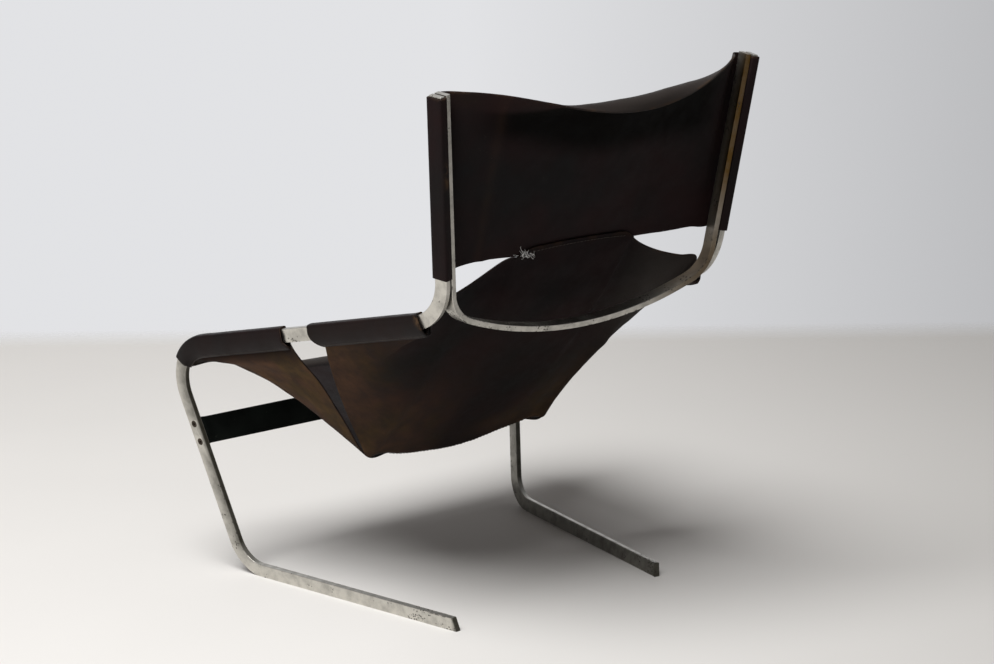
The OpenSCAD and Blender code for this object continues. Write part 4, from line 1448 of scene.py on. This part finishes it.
def hide_mesh(name, grid, masks):
    """A closed sheet about the grid, with rounded cut edges, UVs in metres and masks."""
    rows, cols = grid.shape[:2]
    count = rows * cols
    normals = grid_normals(grid)
    half = normals * HIDE_T / 2
    index = np.arange(count).reshape(rows, cols)
    quads = np.stack([index[:-1, :-1], index[:-1, 1:], index[1:, 1:], index[1:, :-1]], -1)
    quads = quads.reshape(-1, 4)
    faces = quads.tolist() + (quads[:, ::-1] + count).tolist()
    rim, strips, border = [], [], []
    for i, j, di, dj in border_of(rows, cols):
        out = unit(grid[i, j] - grid[i + di, j + dj])
        out = unit(out - (out @ normals[i, j]) * normals[i, j])
        here = index[i, j]
        first = 2 * count + len(rim)
        strips.append([here, *range(first, first + len(EDGE_ANGLES)), here + count])
        for c, s in map(compass, EDGE_ANGLES):
            rim.append(grid[i, j] + out * EDGE_BULGE * c + half[i, j] * s)
            border.append(here)
    for here, there in zip(strips, strips[1:] + strips[:1]):
        for a in range(len(here) - 1):
            faces.append((here[a], here[a + 1], there[a + 1], there[a]))
    sides = [(grid + half).reshape(-1, 3), (grid - half).reshape(-1, 3)]
    mesh = mesh_from(name, np.concatenate([*sides, rim]), faces)
    for key, (upper, lower) in masks.items():
        upper, lower = upper.ravel(), lower.ravel()
        store_values(mesh, key, np.concatenate([upper, lower, upper[border]]))
    store_values(mesh, "cut_edge", np.repeat([0, 1], [2 * count, len(rim)]))
    across, along = (np.cumsum(np.linalg.norm(np.diff(grid, axis=axis), axis=2), axis)
                     for axis in (1, 0))
    uv = np.stack([np.pad(across, ((0, 0), (1, 0))), np.pad(along, ((1, 0), (0, 0)))], -1)
    uv = uv.reshape(-1, 2)
    uv = np.concatenate([uv, uv, uv[border]])
    loops = np.empty(len(mesh.loops), np.int32)
    mesh.loops.foreach_get("vertex_index", loops)
    layer = mesh.uv_layers.new(name="cut_pattern")
    layer.data.foreach_set("uv", uv[loops].astype(np.float32).ravel())
    with edited(mesh) as work:
        bmesh.ops.recalc_face_normals(work, faces=work.faces)
    mesh.shade_smooth()
    return mesh


class Sheet:
    """A hide sheet's surface, with the distances on it that its relief and looks go by."""

    def __init__(self, control, step, sleeve, free_l, towards):
        self.grid, rows, cols = fine_grid(control, step)
        self.towards = towards
        self.up = 1
        self.smooth = self.grid
        self.ahead = rows[:, None]
        self.left_over = rows[-1] - self.ahead
        self.border = np.minimum(cols, cols[-1] - cols)[None, :]
        self.side = self.border - knots_of(control, 1)[len(sleeve)]
        self.free = smoothstep(0, free_l, self.side)

    def emboss(self, relief, skin):
        """Lays a relief towards the sitter on the smooth surface, and the skin's unevenness."""
        normals = grid_normals(self.smooth)
        middle = normals[normals.shape[0] // 2, normals.shape[1] // 2]
        self.up = math.copysign(1, middle @ np.array(self.towards))
        self.grid = self.smooth + normals * (self.up * relief + skin)[..., None]

    def faces(self, sitting, under):
        """Values for the grid's upper and lower side, from those of the sheet's two faces."""
        pair = [np.broadcast_to(v, self.grid.shape[:2]) for v in (sitting, under)]
        return pair if self.up > 0 else pair[::-1]

    def piece(self, name, masks, material):
        return new_object(name, hide_mesh(name, self.grid, masks), material), self.grid


def crease_lift(x):
    """On the sitter's right the crease hangs less."""
    return CREASE_LIFT * bell(x, -0.115, 0.075)


def lift_crease(grid, from_crease, reach):
    grid[..., 2] += crease_lift(grid[..., 0]) * smoothstep(reach, 0, from_crease)


def front_relief(sheet, ripple_depth):
    """Ripples, the hem's roll, and folds that run from the sleeve's bend to the kink."""
    grid, ahead, side = sheet.smooth, sheet.ahead, sheet.side
    relief = ripple_depth * layered(grid, (0.6, 11, 1), (0.35, 26, 2)) * sheet.free
    for place, turn, depth in FRONT_FOLDS:
        fade = smoothstep(4 * MM, 30 * MM, side) * smoothstep(150 * MM, 90 * MM, side)
        relief = relief + depth * bell(ahead - place - turn * side, 0, 7 * MM) * fade
    relief = relief + 2.2 * MM * bell(ahead, 9 * MM, 8 * MM) * sheet.free
    skin = layered(grid, (0.22 * MM, 60, 3), (0.12 * MM, 150, 4))
    sheet.emboss(relief, skin * (0.35 + 0.65 * sheet.free))


def front_looks(sheet):
    """Brown flanks, painted shade under the front, a paler hem with its dark seam, and rubbed
    spots.
    """
    ahead, side, free = sheet.ahead, sheet.side, sheet.free
    x, y = sheet.grid[..., 0], sheet.grid[..., 1]
    flank = smoothstep(0, 40 * MM, side) * smoothstep(190 * MM, 120 * MM, side)
    brown = np.clip(0.15 + 0.95 * flank * smoothstep(60 * MM, 150 * MM, ahead), 0, 1)
    # Painted shade on the underside along the front edge, below the sleeves
    shade = smoothstep(80 * MM, 45 * MM, ahead) * smoothstep(0, 20 * MM, side)
    hem = 0.8 * smoothstep(19 * MM, 16 * MM, ahead) * free
    seam = bell(ahead, 21 * MM, 2.5 * MM) * free
    scuff = 0.55 * smoothstep(9 * MM, 1 * MM, ahead) * free
    for spot, radius, strength in SCUFFED_SPOTS:
        apart = np.hypot(x - spot[0], y - spot[1])
        scuff = scuff + strength * bell(apart, 0, radius)
    return {
        "brown": sheet.faces(0.03, brown),
        "scuff": sheet.faces(scuff * 0.4, scuff),
        "ink": sheet.faces(seam, shade),
        "faded": sheet.faces(hem, 0),
        "underside": sheet.faces(0, smoothstep(-4 * MM, 6 * MM, side)),
    }


def make_front_sheet(settings, material):
    sheet = Sheet(front_control(), settings.mesh_step, SLEEVE, 60 * MM, (0, 0, 1))
    lift_crease(sheet.smooth, sheet.left_over, 0.12)
    front_relief(sheet, settings.ripple)
    return sheet.piece("front_sling", front_looks(sheet), material)


def rear_relief(sheet, ripple_depth):
    """Ripples below the tongue, and small puckers under the stitched sleeves."""
    grid, ahead, side, free = sheet.smooth, sheet.ahead, sheet.side, sheet.free
    below_top = smoothstep(0, 60 * MM, sheet.left_over)
    ripple = ripple_depth * layered(grid, (1.1, 8, 5), (0.45, 21, 6))
    ripple = ripple * free * below_top * smoothstep(0, 25 * MM, ahead)
    pucker = 0.5 * MM * np.cos(ahead / (11 * MM)) * np.exp(-np.abs(side) / (16 * MM)) * free
    skin = layered(grid, (0.22 * MM, 60, 7), (0.12 * MM, 150, 8))
    sheet.emboss(ripple + pucker, skin * (0.3 + 0.7 * free * below_top))


def rear_looks(sheet):
    """Brown above the crease and below the sleeves, rubbed edges, and a paler right flank."""
    ahead, side, to_top = sheet.ahead, sheet.side, sheet.left_over
    x, z = sheet.grid[..., 0], sheet.grid[..., 2]
    margin = smoothstep(220 * MM, 10 * MM, ahead) * smoothstep(340 * MM, 180 * MM, side)
    below_sleeve = smoothstep(110 * MM, 10 * MM, side)
    patch = bell(x, -0.06, 0.06) * bell(ahead, 32 * MM, 26 * MM)
    brown = 0.04 + 0.52 * margin + 0.26 * below_sleeve + 0.26 * patch
    brown = np.clip(brown * smoothstep(0.62, 0.45, z), 0, 1)
    notch = smoothstep(10 * MM, 1 * MM, ahead) * smoothstep(260 * MM, 150 * MM, side)
    torn = 2.5 * smoothstep(15 * MM, 3 * MM, to_top) * (side < 4 * MM)
    scuff = 0.45 * notch * sheet.free + 0.15 * smoothstep(6 * MM, 1 * MM, to_top) + torn
    faded = 0.75 * smoothstep(-0.12, -0.24, x) * smoothstep(0.36, 0.50, z)
    return {
        "brown": sheet.faces(0.05, brown),
        "scuff": sheet.faces(scuff * 0.4, scuff),
        "faded": sheet.faces(0, faded),
        "underside": sheet.faces(0, smoothstep(-4 * MM, 6 * MM, side)),
    }


def make_rear_sheet(settings, material):
    sheet = Sheet(rear_control(), settings.mesh_step, SLEEVE, 60 * MM, (0, -1, 1))
    lift_crease(sheet.smooth, sheet.ahead, 0.14)
    height = np.clip(2.1 * sheet.ahead / sheet.ahead[-1], 0, 1)
    tuck = bell(sheet.smooth[..., 0], -0.225, 0.06) * swell(height)
    sheet.smooth -= TUCK * tuck[..., None] * WALL_OUT
    rear_relief(sheet, settings.ripple)
    return sheet.piece("rear_sling", rear_looks(sheet), material)


def back_relief(sheet, ripple_depth):
    """Ripples above the lower edge, and a soft upright fold on the sitter's left."""
    height = sheet.ahead / sheet.ahead[-1]
    x = sheet.smooth[..., 0]
    ripple = ripple_depth * layered(sheet.smooth, (0.8, 9, 9), (0.4, 24, 10)) * sheet.free
    fold = -1.6 * MM * bell(x, 0.205 + 0.02 * height, 9 * MM) * smoothstep(0.9, 0.6, height)
    skin = layered(sheet.smooth, (0.2 * MM, 60, 11), (0.1 * MM, 150, 12))
    sheet.emboss(ripple * smoothstep(0, 0.18, height) + fold,
                 skin * (0.3 + 0.7 * sheet.free))


def back_looks(sheet):
    """Painted sheen on the lip's front face, painted shade in a band under the lip behind, and
    rubbed pockets.
    """
    to_lip, free = sheet.left_over, sheet.free
    height = sheet.ahead / sheet.ahead[-1]
    x, z = sheet.smooth[..., 0], sheet.smooth[..., 2]
    upright = bell(x, 0.218 + 0.02 * height, 8 * MM)
    brown = 0.02 + 0.10 * smoothstep(0.86, 1.0, height) + 0.14 * upright
    patch = bell(z, 0.815, 0.018) * (x > 0)
    rubbed = np.clip(patch + 0.15 * cloud(sheet.grid, 30, 13), 0, 1)
    scuff = bell(sheet.border, 27 * MM, 5 * MM) * rubbed + 0.3 * smoothstep(5 * MM, 0, to_lip)
    # Painted sheen: the rolled lip's front face drawn paler near its edge
    pale = 0.75 * smoothstep(60 * MM, 20 * MM, to_lip) * free * smoothstep(0.25, 0, x)
    # Painted shade: a near-black band on the rear face, under the rolled lip
    start = lerp(0, 27 * MM, smoothstep(0.02, 0.24, x))
    end = lerp(155 * MM, 105 * MM, smoothstep(0, 0.24, x))
    ink = smoothstep(start, start + 12 * MM, to_lip) * smoothstep(end, end - 50 * MM, to_lip)
    ink = ink * smoothstep(0.30, 0.20, x) * smoothstep(-0.29, -0.20, x)
    return {
        "brown": sheet.faces(0.03, brown),
        "ink": sheet.faces(0, ink),
        "faded": sheet.faces(pale, 0),
        "scuff": sheet.faces(scuff, scuff),
        "underside": sheet.faces(0, 0.45 * free),
    }


def make_back_sheet(settings, material):
    sheet = Sheet(back_control(), settings.mesh_step, POCKET, 50 * MM, (0, -1, 0))
    back_relief(sheet, settings.ripple)
    return sheet.piece("back_sling", back_looks(sheet), material)


# Stitching

STITCH_RINGS = 7
STITCH_SIDES = 6
SEAM_REACH = 0.97
FRAY_SEED = 11
FRAY_COUNT = 26
FRAY_SIDES = 5
FRAY_R = 0.27 * MM
FRAY_STEP = 1.7 * MM


def stitch_mesh(length, rise, thick):
    """One stitch: a short arched thread whose ends dip into the hide."""
    rings = []
    for i in range(STITCH_RINGS):
        t = i / (STITCH_RINGS - 1) * 2 - 1
        radius = thick / 2 * math.sqrt(max(0.06, 1 - t ** 6))
        height = rise * (1 - t * t) - thick * 0.35 * t ** 4
        turns = [2 * math.pi * k / STITCH_SIDES for k in range(STITCH_SIDES)]
        rings.append([(t * length / 2, radius * math.cos(a), height + radius * math.sin(a))
                      for a in turns])
    mesh = mesh_from("stitch", *tube(rings))
    tidy_normals(mesh)
    return mesh


def lay_stitches(name, line, settings, material, length, lean, rise):
    """Stitches along a line of points, each a pitch from the next."""
    points, out_dirs = line
    host = host_line(name, points, out_dir=out_dirs)
    set_copies(host, stitch_mesh(length, rise, THREAD_D), "Saddle stitches", stitch_tree,
               pitch=settings.pitch, spin=lean, seed=3, material=material)
    host.data.shade_smooth()
    return host


def sleeve_line(start, end):
    """Stitch line on the sleeve's outer flap, on the sitter's left."""
    m, n = SLEEVE[1]
    n = n + HIDE_T / 2 + THREAD_D * 0.3
    stops = np.linspace(start + THREAD_INSET, end - THREAD_INSET, 60)
    return [on_bar(d, m, n) for d in stops], [OUTWARD] * len(stops)


def crease_line():
    """Stitch line along the crease, under the seat."""
    points = []
    for s in np.linspace(-SEAM_REACH, SEAM_REACH, 120):
        x = CREASE_TIP[0] * s
        rise = CREASE_SAG * s * s - crease_dip(abs(s)) + crease_lift(x) - HIDE_T * 0.25
        points.append(np.array([x, CREASE_TIP[1], CREASE_MID[2] + rise]))
    return points, [unit(np.array([0, 0.35, -1]))] * len(points)


def tongue_line():
    """Stitch line under the tongue's rounded top, behind the back sheet."""
    points = []
    for s in np.linspace(-SEAM_REACH, SEAM_REACH, 90):
        a = abs(s)
        lap = lerp(TONGUE_LAP, TONGUE_CORNER_LAP, a * a) - TONGUE_SEAM
        q = behind_back(TONGUE_TOP_HALF * a, lap)
        q = q + np.array([0, HIDE_T / 2 + THREAD_D * 0.5, 0])
        points.append(q * np.array([math.copysign(1, s), 1, 1]))
    return points, [np.array([0.0, 1.0, 0.0])] * len(points)


def loose_ends(at):
    """A tuft of frayed thread ends, as one mesh of thin curled tubes."""
    chance = random.Random(FRAY_SEED)
    turns = [2 * math.pi * k / FRAY_SIDES for k in range(FRAY_SIDES)]
    vertices, faces = [], []
    for _ in range(FRAY_COUNT):
        start = [chance.uniform(-20, 12) * MM, 0, chance.uniform(-3, 4) * MM]
        p = Vector(at) + Vector(start)
        aim = Vector([chance.uniform(-1, 1), 0.5, chance.uniform(-0.5, 1)]).normalized()
        curl = Vector([chance.uniform(-1, 1) for _ in range(3)])
        rings = []
        for _ in range(chance.randint(7, 12)):
            u = aim.orthogonal().normalized()
            w = aim.cross(u)
            rings.append([p + (u * math.cos(a) + w * math.sin(a)) * FRAY_R for a in turns])
            stray = Vector([chance.uniform(-1, 1) for _ in range(3)])
            aim = (aim + 0.45 * curl.cross(aim) + 0.18 * stray).normalized()
            p = p + aim * FRAY_STEP
        points, sides = tube(rings)
        faces += [[len(vertices) + k for k in face] for face in sides]
        vertices += points
    return mesh_from("loose_ends", vertices, faces)


def join_frayed(obj, extra):
    """Adds a mesh of frayed ends to the object's own."""
    with edited(obj.data) as work:
        before = len(work.verts)
        work.from_mesh(extra)
        count = len(work.verts)
    store_values(obj.data, "frayed", np.arange(count) >= before)
    obj.data.shade_smooth()


# Operators


class CHAIR_OT_side_frames(bpy.types.Operator):
    """Bend, trim and drill both side frames"""
    bl_idname = "chair.side_frames"
    bl_label = "Side frames"

    def execute(self, context):
        material = steel_material(context.scene.chair_frame)
        left = make_side_frame(context.scene.chair_frame, material)
        finish_pair(left, "frame_steel", "side_frame")
        return {"FINISHED"}


class CHAIR_OT_back_bow(bpy.types.Operator):
    """Bend the bow that ties the back posts"""
    bl_idname = "chair.back_bow"
    bl_label = "Back bow"

    def execute(self, context):
        material = bpy.data.materials["bare_steel"]
        bow = make_bow(context.scene.chair_frame, material)
        finish_piece(bow, "frame_steel", "back_bow")
        return {"FINISHED"}


class CHAIR_OT_crossbar(bpy.types.Operator):
    """Make the blackened crossbar between the front legs"""
    bl_idname = "chair.crossbar"
    bl_label = "Crossbar"

    def execute(self, context):
        plate = make_crossbar(paint_material(context.scene.chair_frame))
        finish_piece(plate, "black_steel", "front_crossbar")
        return {"FINISHED"}


class CHAIR_OT_screws(bpy.types.Operator):
    """Set the countersunk screws of the crossbar and the bow"""
    bl_idname = "chair.screws"
    bl_label = "Screws"

    def execute(self, context):
        material = screw_material(context.scene.chair_frame)
        groups = (
            ("crossbar_screws", crossbar_screw_points(), BAR_T + CROSSBAR_T),
            ("bow_screws", bow_screw_points(), 2 * BAR_T + SANDWICH - SCREW_HEAD_H),
        )
        for name, points, length in groups:
            left = make_screws("left_" + name + "_set", points, length, material)
            finish_pair(left, "dark_screw", name)
        return {"FINISHED"}


class CHAIR_OT_front_sheet(bpy.types.Operator):
    """Hang the front sheet of the seat from its two sleeves"""
    bl_idname = "chair.front_sheet"
    bl_label = "Front seat sheet"

    def execute(self, context):
        material = hide_material(context.scene.chair_hide, "seat_hide", 0.9, 0.40, 0.11, 1.0)
        sheet, grid = make_front_sheet(context.scene.chair_hide, material)
        finish_piece(sheet, "hide", "front_seat_sheet")
        return {"FINISHED"}


class CHAIR_OT_rear_sheet(bpy.types.Operator):
    """Hang the rear sheet of the seat, with its tongue behind the back"""
    bl_idname = "chair.rear_sheet"
    bl_label = "Rear seat sheet"

    def execute(self, context):
        sheet, grid = make_rear_sheet(context.scene.chair_hide,
                                      bpy.data.materials["seat_hide"])
        finish_piece(sheet, "hide", "rear_seat_sheet")
        return {"FINISHED"}


class CHAIR_OT_back_sheet(bpy.types.Operator):
    """Stretch the back sheet between the posts"""
    bl_idname = "chair.back_sheet"
    bl_label = "Back sheet"

    def execute(self, context):
        # Painted light: the back's hide is the seat's hide with its dye drawn twice as light
        # and less specular, standing in for the sheen it loses
        material = hide_material(context.scene.chair_hide, "back_hide", 0.6, 0.40, 0.045, 2.0)
        sheet, grid = make_back_sheet(context.scene.chair_hide, material)
        finish_piece(sheet, "hide", "back_sheet")
        return {"FINISHED"}


class CHAIR_OT_threads(bpy.types.Operator):
    """Sew the sleeves, the crease and the tongue with waxed thread"""
    bl_idname = "chair.threads"
    bl_label = "Stitching"

    def execute(self, context):
        settings = context.scene.chair_stitch
        material = thread_material(settings)
        plain = (settings, material, settings.pitch * 0.78, 0.12, THREAD_D * 0.35)
        rows = (
            ("front_sleeve", FRONT_START, FRONT_END),
            ("rear_sleeve", REAR_START, REAR_END),
        )
        for name, start, end in rows:
            left = lay_stitches("left_" + name + "_stitches", sleeve_line(start, end), *plain)
            finish_pair(left, "thread", name + "_thread")
        crease = lay_stitches("crease_stitches", crease_line(), settings, material,
                              9 * MM, 1.2, 1.5 * MM)
        finish_piece(crease, "thread", "crease_thread")
        tongue = lay_stitches("tongue_stitches", tongue_line(), *plain)
        tuft = behind_back(TONGUE_HALF * 0.93, 4 * MM) + np.array([0, 3 * MM, 0])
        join_frayed(tongue, loose_ends(tuft))
        finish_piece(tongue, "thread", "tongue_thread")
        return {"FINISHED"}


# Stage

CAMERA_FROM_KNEE = (3.183211, 4.3956, 1.684355)
CAMERA_YAW = math.radians(218.817)
CAMERA_PITCH = math.radians(-13.584)
CAMERA_ROLL = math.radians(-0.569)
CAMERA_LENS = 107.75
WALL_WAY = Vector((math.sin(CAMERA_YAW), math.cos(CAMERA_YAW), 0))
WALL_SIDE = Vector((math.cos(CAMERA_YAW), -math.sin(CAMERA_YAW), 0))
FLOOR_FAR = 1.93
FLOOR_REACH = 3.4
FLOOR_FADE = 0.16
LAMP_AIM = Vector((0, 0, 0.3))


def aim_camera():
    """The camera that fits the chair's outlines as photographed."""
    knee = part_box("left_side_frame")[0]
    ahead = WALL_WAY * math.cos(CAMERA_PITCH) + Vector((0, 0, math.sin(CAMERA_PITCH)))
    side = ahead.cross(Vector((0, 0, 1))).normalized()
    up = side.cross(ahead)
    right = side * math.cos(CAMERA_ROLL) + up * math.sin(CAMERA_ROLL)
    above = up * math.cos(CAMERA_ROLL) - side * math.sin(CAMERA_ROLL)
    data = bpy.data.cameras.new("camera")
    data.lens = CAMERA_LENS
    data.sensor_width = 36
    data.clip_end = 60
    camera = bpy.data.objects.new("camera", data)
    rows = Matrix((right, above, -ahead)).transposed().to_4x4()
    rows.translation = Vector(CAMERA_FROM_KNEE) + Vector((0, knee.y, 0))
    camera.matrix_world = rows
    bpy.context.scene.collection.objects.link(camera)
    bpy.context.scene.camera = camera


def light_world(settings):
    """Even fill light, and a plain pale wall where the camera or a reflection sees it."""
    world = bpy.data.worlds.new("studio")
    world.use_nodes = True
    lay = ShaderTree(world.node_tree)
    nodes = world.node_tree.nodes
    path = lay.add("ShaderNodeLightPath").outputs
    seen = path["Is Camera Ray"]
    for other in ("Is Glossy Ray", "Is Transmission Ray"):
        seen = lay.larger(seen, path[other])
    # Painted shade: the wall grows darker towards the camera's right
    direction = lay.add("ShaderNodeTexCoord").outputs["Generated"]
    dim = lay.ramp(lay.dot(direction, WALL_SIDE), -0.01, 0.19)
    wall = lay.mix(dim, rgb(settings.wall_color), rgb(settings.wall_color, 0.62))
    # Only the wall behind the chair is lit; the rest of the room shows in reflections
    room = lay.times(lay.ramp(lay.dot(direction, WALL_WAY), 0.90, 0.30),
                     lay.minus(1.0, path["Is Camera Ray"]))
    wall = lay.mix(room, wall, rgb(settings.wall_color, settings.room_share))
    shown = lay.add("ShaderNodeBackground", {"Color": wall, "Strength": 1.0})
    fill = nodes["Background"]
    fill.inputs["Color"].default_value = rgb(FILL_COLOR)
    fill.inputs["Strength"].default_value = settings.fill_strength
    both = lay.add("ShaderNodeMixShader", {0: seen, 1: fill.outputs[0], 2: shown.outputs[0]})
    lay.link(both.outputs[0], nodes["World Output"], "Surface")
    bpy.context.scene.world = world


def floor_material(settings):
    """Pale floor that fades out at its far edge, where the wall starts."""
    material, lay, shader, place = new_material("studio_floor")
    turned = lay.add("ShaderNodeMapping",
                     {"Vector": place, "Rotation": (0, 0, CAMERA_YAW - math.pi)})
    split = lay.add("ShaderNodeSeparateXYZ", {"Vector": turned.outputs[0]}).outputs
    blotch = group_node(lay, blotch_group, {"Vector": place, "Broad": 1.2, "Small": 9.0})
    # Painted shade: the floor grows darker towards the camera's right
    tone = lay.mix(lay.ramp(split["X"], 0.2, -1.2), rgb(settings.floor_color),
                   rgb(settings.floor_color, 0.72))
    soiled = lay.mix(lay.times(blotch["Broad"], 0.10), tone, rgb(SOIL_COLOR))
    lay.link(soiled, shader, "Base Color")
    shader.inputs["Roughness"].default_value = 0.6
    shader.inputs[SPECULAR].default_value = 0.25
    fade = lay.ramp(split["Y"], FLOOR_FADE - FLOOR_FAR, -FLOOR_FAR)
    clear = lay.add("ShaderNodeBsdfTransparent")
    both = lay.add("ShaderNodeMixShader", {0: fade, 1: shader.outputs[0],
                                           2: clear.outputs[0]})
    lay.link(both.outputs[0], material.node_tree.nodes["Material Output"], "Surface")
    return material


def floor_mesh():
    """A large floor, square to the camera, that ends where the photographed wall stands."""
    corners_at = [(-FLOOR_REACH, FLOOR_FAR), (-FLOOR_REACH, -FLOOR_REACH),
                  (FLOOR_REACH, -FLOOR_REACH), (FLOOR_REACH, FLOOR_FAR)]
    return mesh_from("floor", [WALL_SIDE * x + WALL_WAY * y for x, y in corners_at],
                     [range(4)])


def add_key_light(settings):
    """One large soft lamp above and to the photograph's left of the chair."""
    data = bpy.data.lights.new("key_light", "AREA")
    data.shape = "DISK"
    data.size = settings.key_size
    data.energy = settings.key_power
    data.color = KEY_COLOR
    lamp = bpy.data.objects.new("key_light", data)
    lamp.location = Vector(settings.key_direction).normalized() * settings.key_distance
    aim = LAMP_AIM - lamp.location
    lamp.rotation_euler = aim.to_track_quat("-Z", "Y").to_euler()
    bpy.context.scene.collection.objects.link(lamp)


class CHAIR_OT_stage(bpy.types.Operator):
    """Set the camera, the floor and the soft studio light"""
    bl_idname = "chair.stage"
    bl_label = "Studio"

    def execute(self, context):
        settings = context.scene.chair_stage
        context.scene.view_settings.view_transform = "Standard"
        aim_camera()
        light_world(settings)
        new_object("floor", floor_mesh(), floor_material(settings))
        add_key_light(settings)
        return {"FINISHED"}


class CHAIR_PT_panel(bpy.types.Panel):
    """Lists the steps that build the chair"""
    bl_idname = "CHAIR_PT_panel"
    bl_label = "Sling lounge chair"
    bl_space_type = "VIEW_3D"
    bl_region_type = "UI"
    bl_category = "Lounge chair"

    def draw(self, context):
        for operator in OPERATORS:
            self.layout.operator(operator.bl_idname)
        for group in ("chair_frame", "chair_hide", "chair_stitch", "chair_stage"):
            settings = getattr(context.scene, group)
            box = self.layout.box()
            for key in settings.bl_rna.properties.keys():
                if key not in ("rna_type", "name"):
                    box.prop(settings, key)


OPERATORS = (CHAIR_OT_stage, CHAIR_OT_side_frames, CHAIR_OT_back_bow, CHAIR_OT_crossbar,
             CHAIR_OT_screws, CHAIR_OT_front_sheet, CHAIR_OT_rear_sheet,
             CHAIR_OT_back_sheet, CHAIR_OT_threads)
SETTINGS = {"chair_frame": FrameSettings, "chair_hide": HideSettings,
            "chair_stitch": StitchSettings, "chair_stage": StageSettings}
CLASSES = (*SETTINGS.values(), *OPERATORS, CHAIR_PT_panel)


def register():
    for found in CLASSES:
        bpy.utils.register_class(found)
    for key, group in SETTINGS.items():
        setattr(bpy.types.Scene, key, PointerProperty(type=group))


def unregister():
    for key in SETTINGS:
        delattr(bpy.types.Scene, key)
    for found in reversed(CLASSES):
        bpy.utils.unregister_class(found)


def corners(box):
    return [list(corner) for corner in box]


def main():
    register()
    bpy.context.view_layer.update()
    bpy.ops.chair.stage()
    bpy.ops.chair.side_frames()
    bpy.ops.chair.back_bow()
    bpy.ops.chair.crossbar()
    bpy.ops.chair.screws()
    bpy.ops.chair.front_sheet()
    bpy.ops.chair.rear_sheet()
    bpy.ops.chair.back_sheet()
    bpy.ops.chair.threads()


if __name__ == "__main__":
    main()
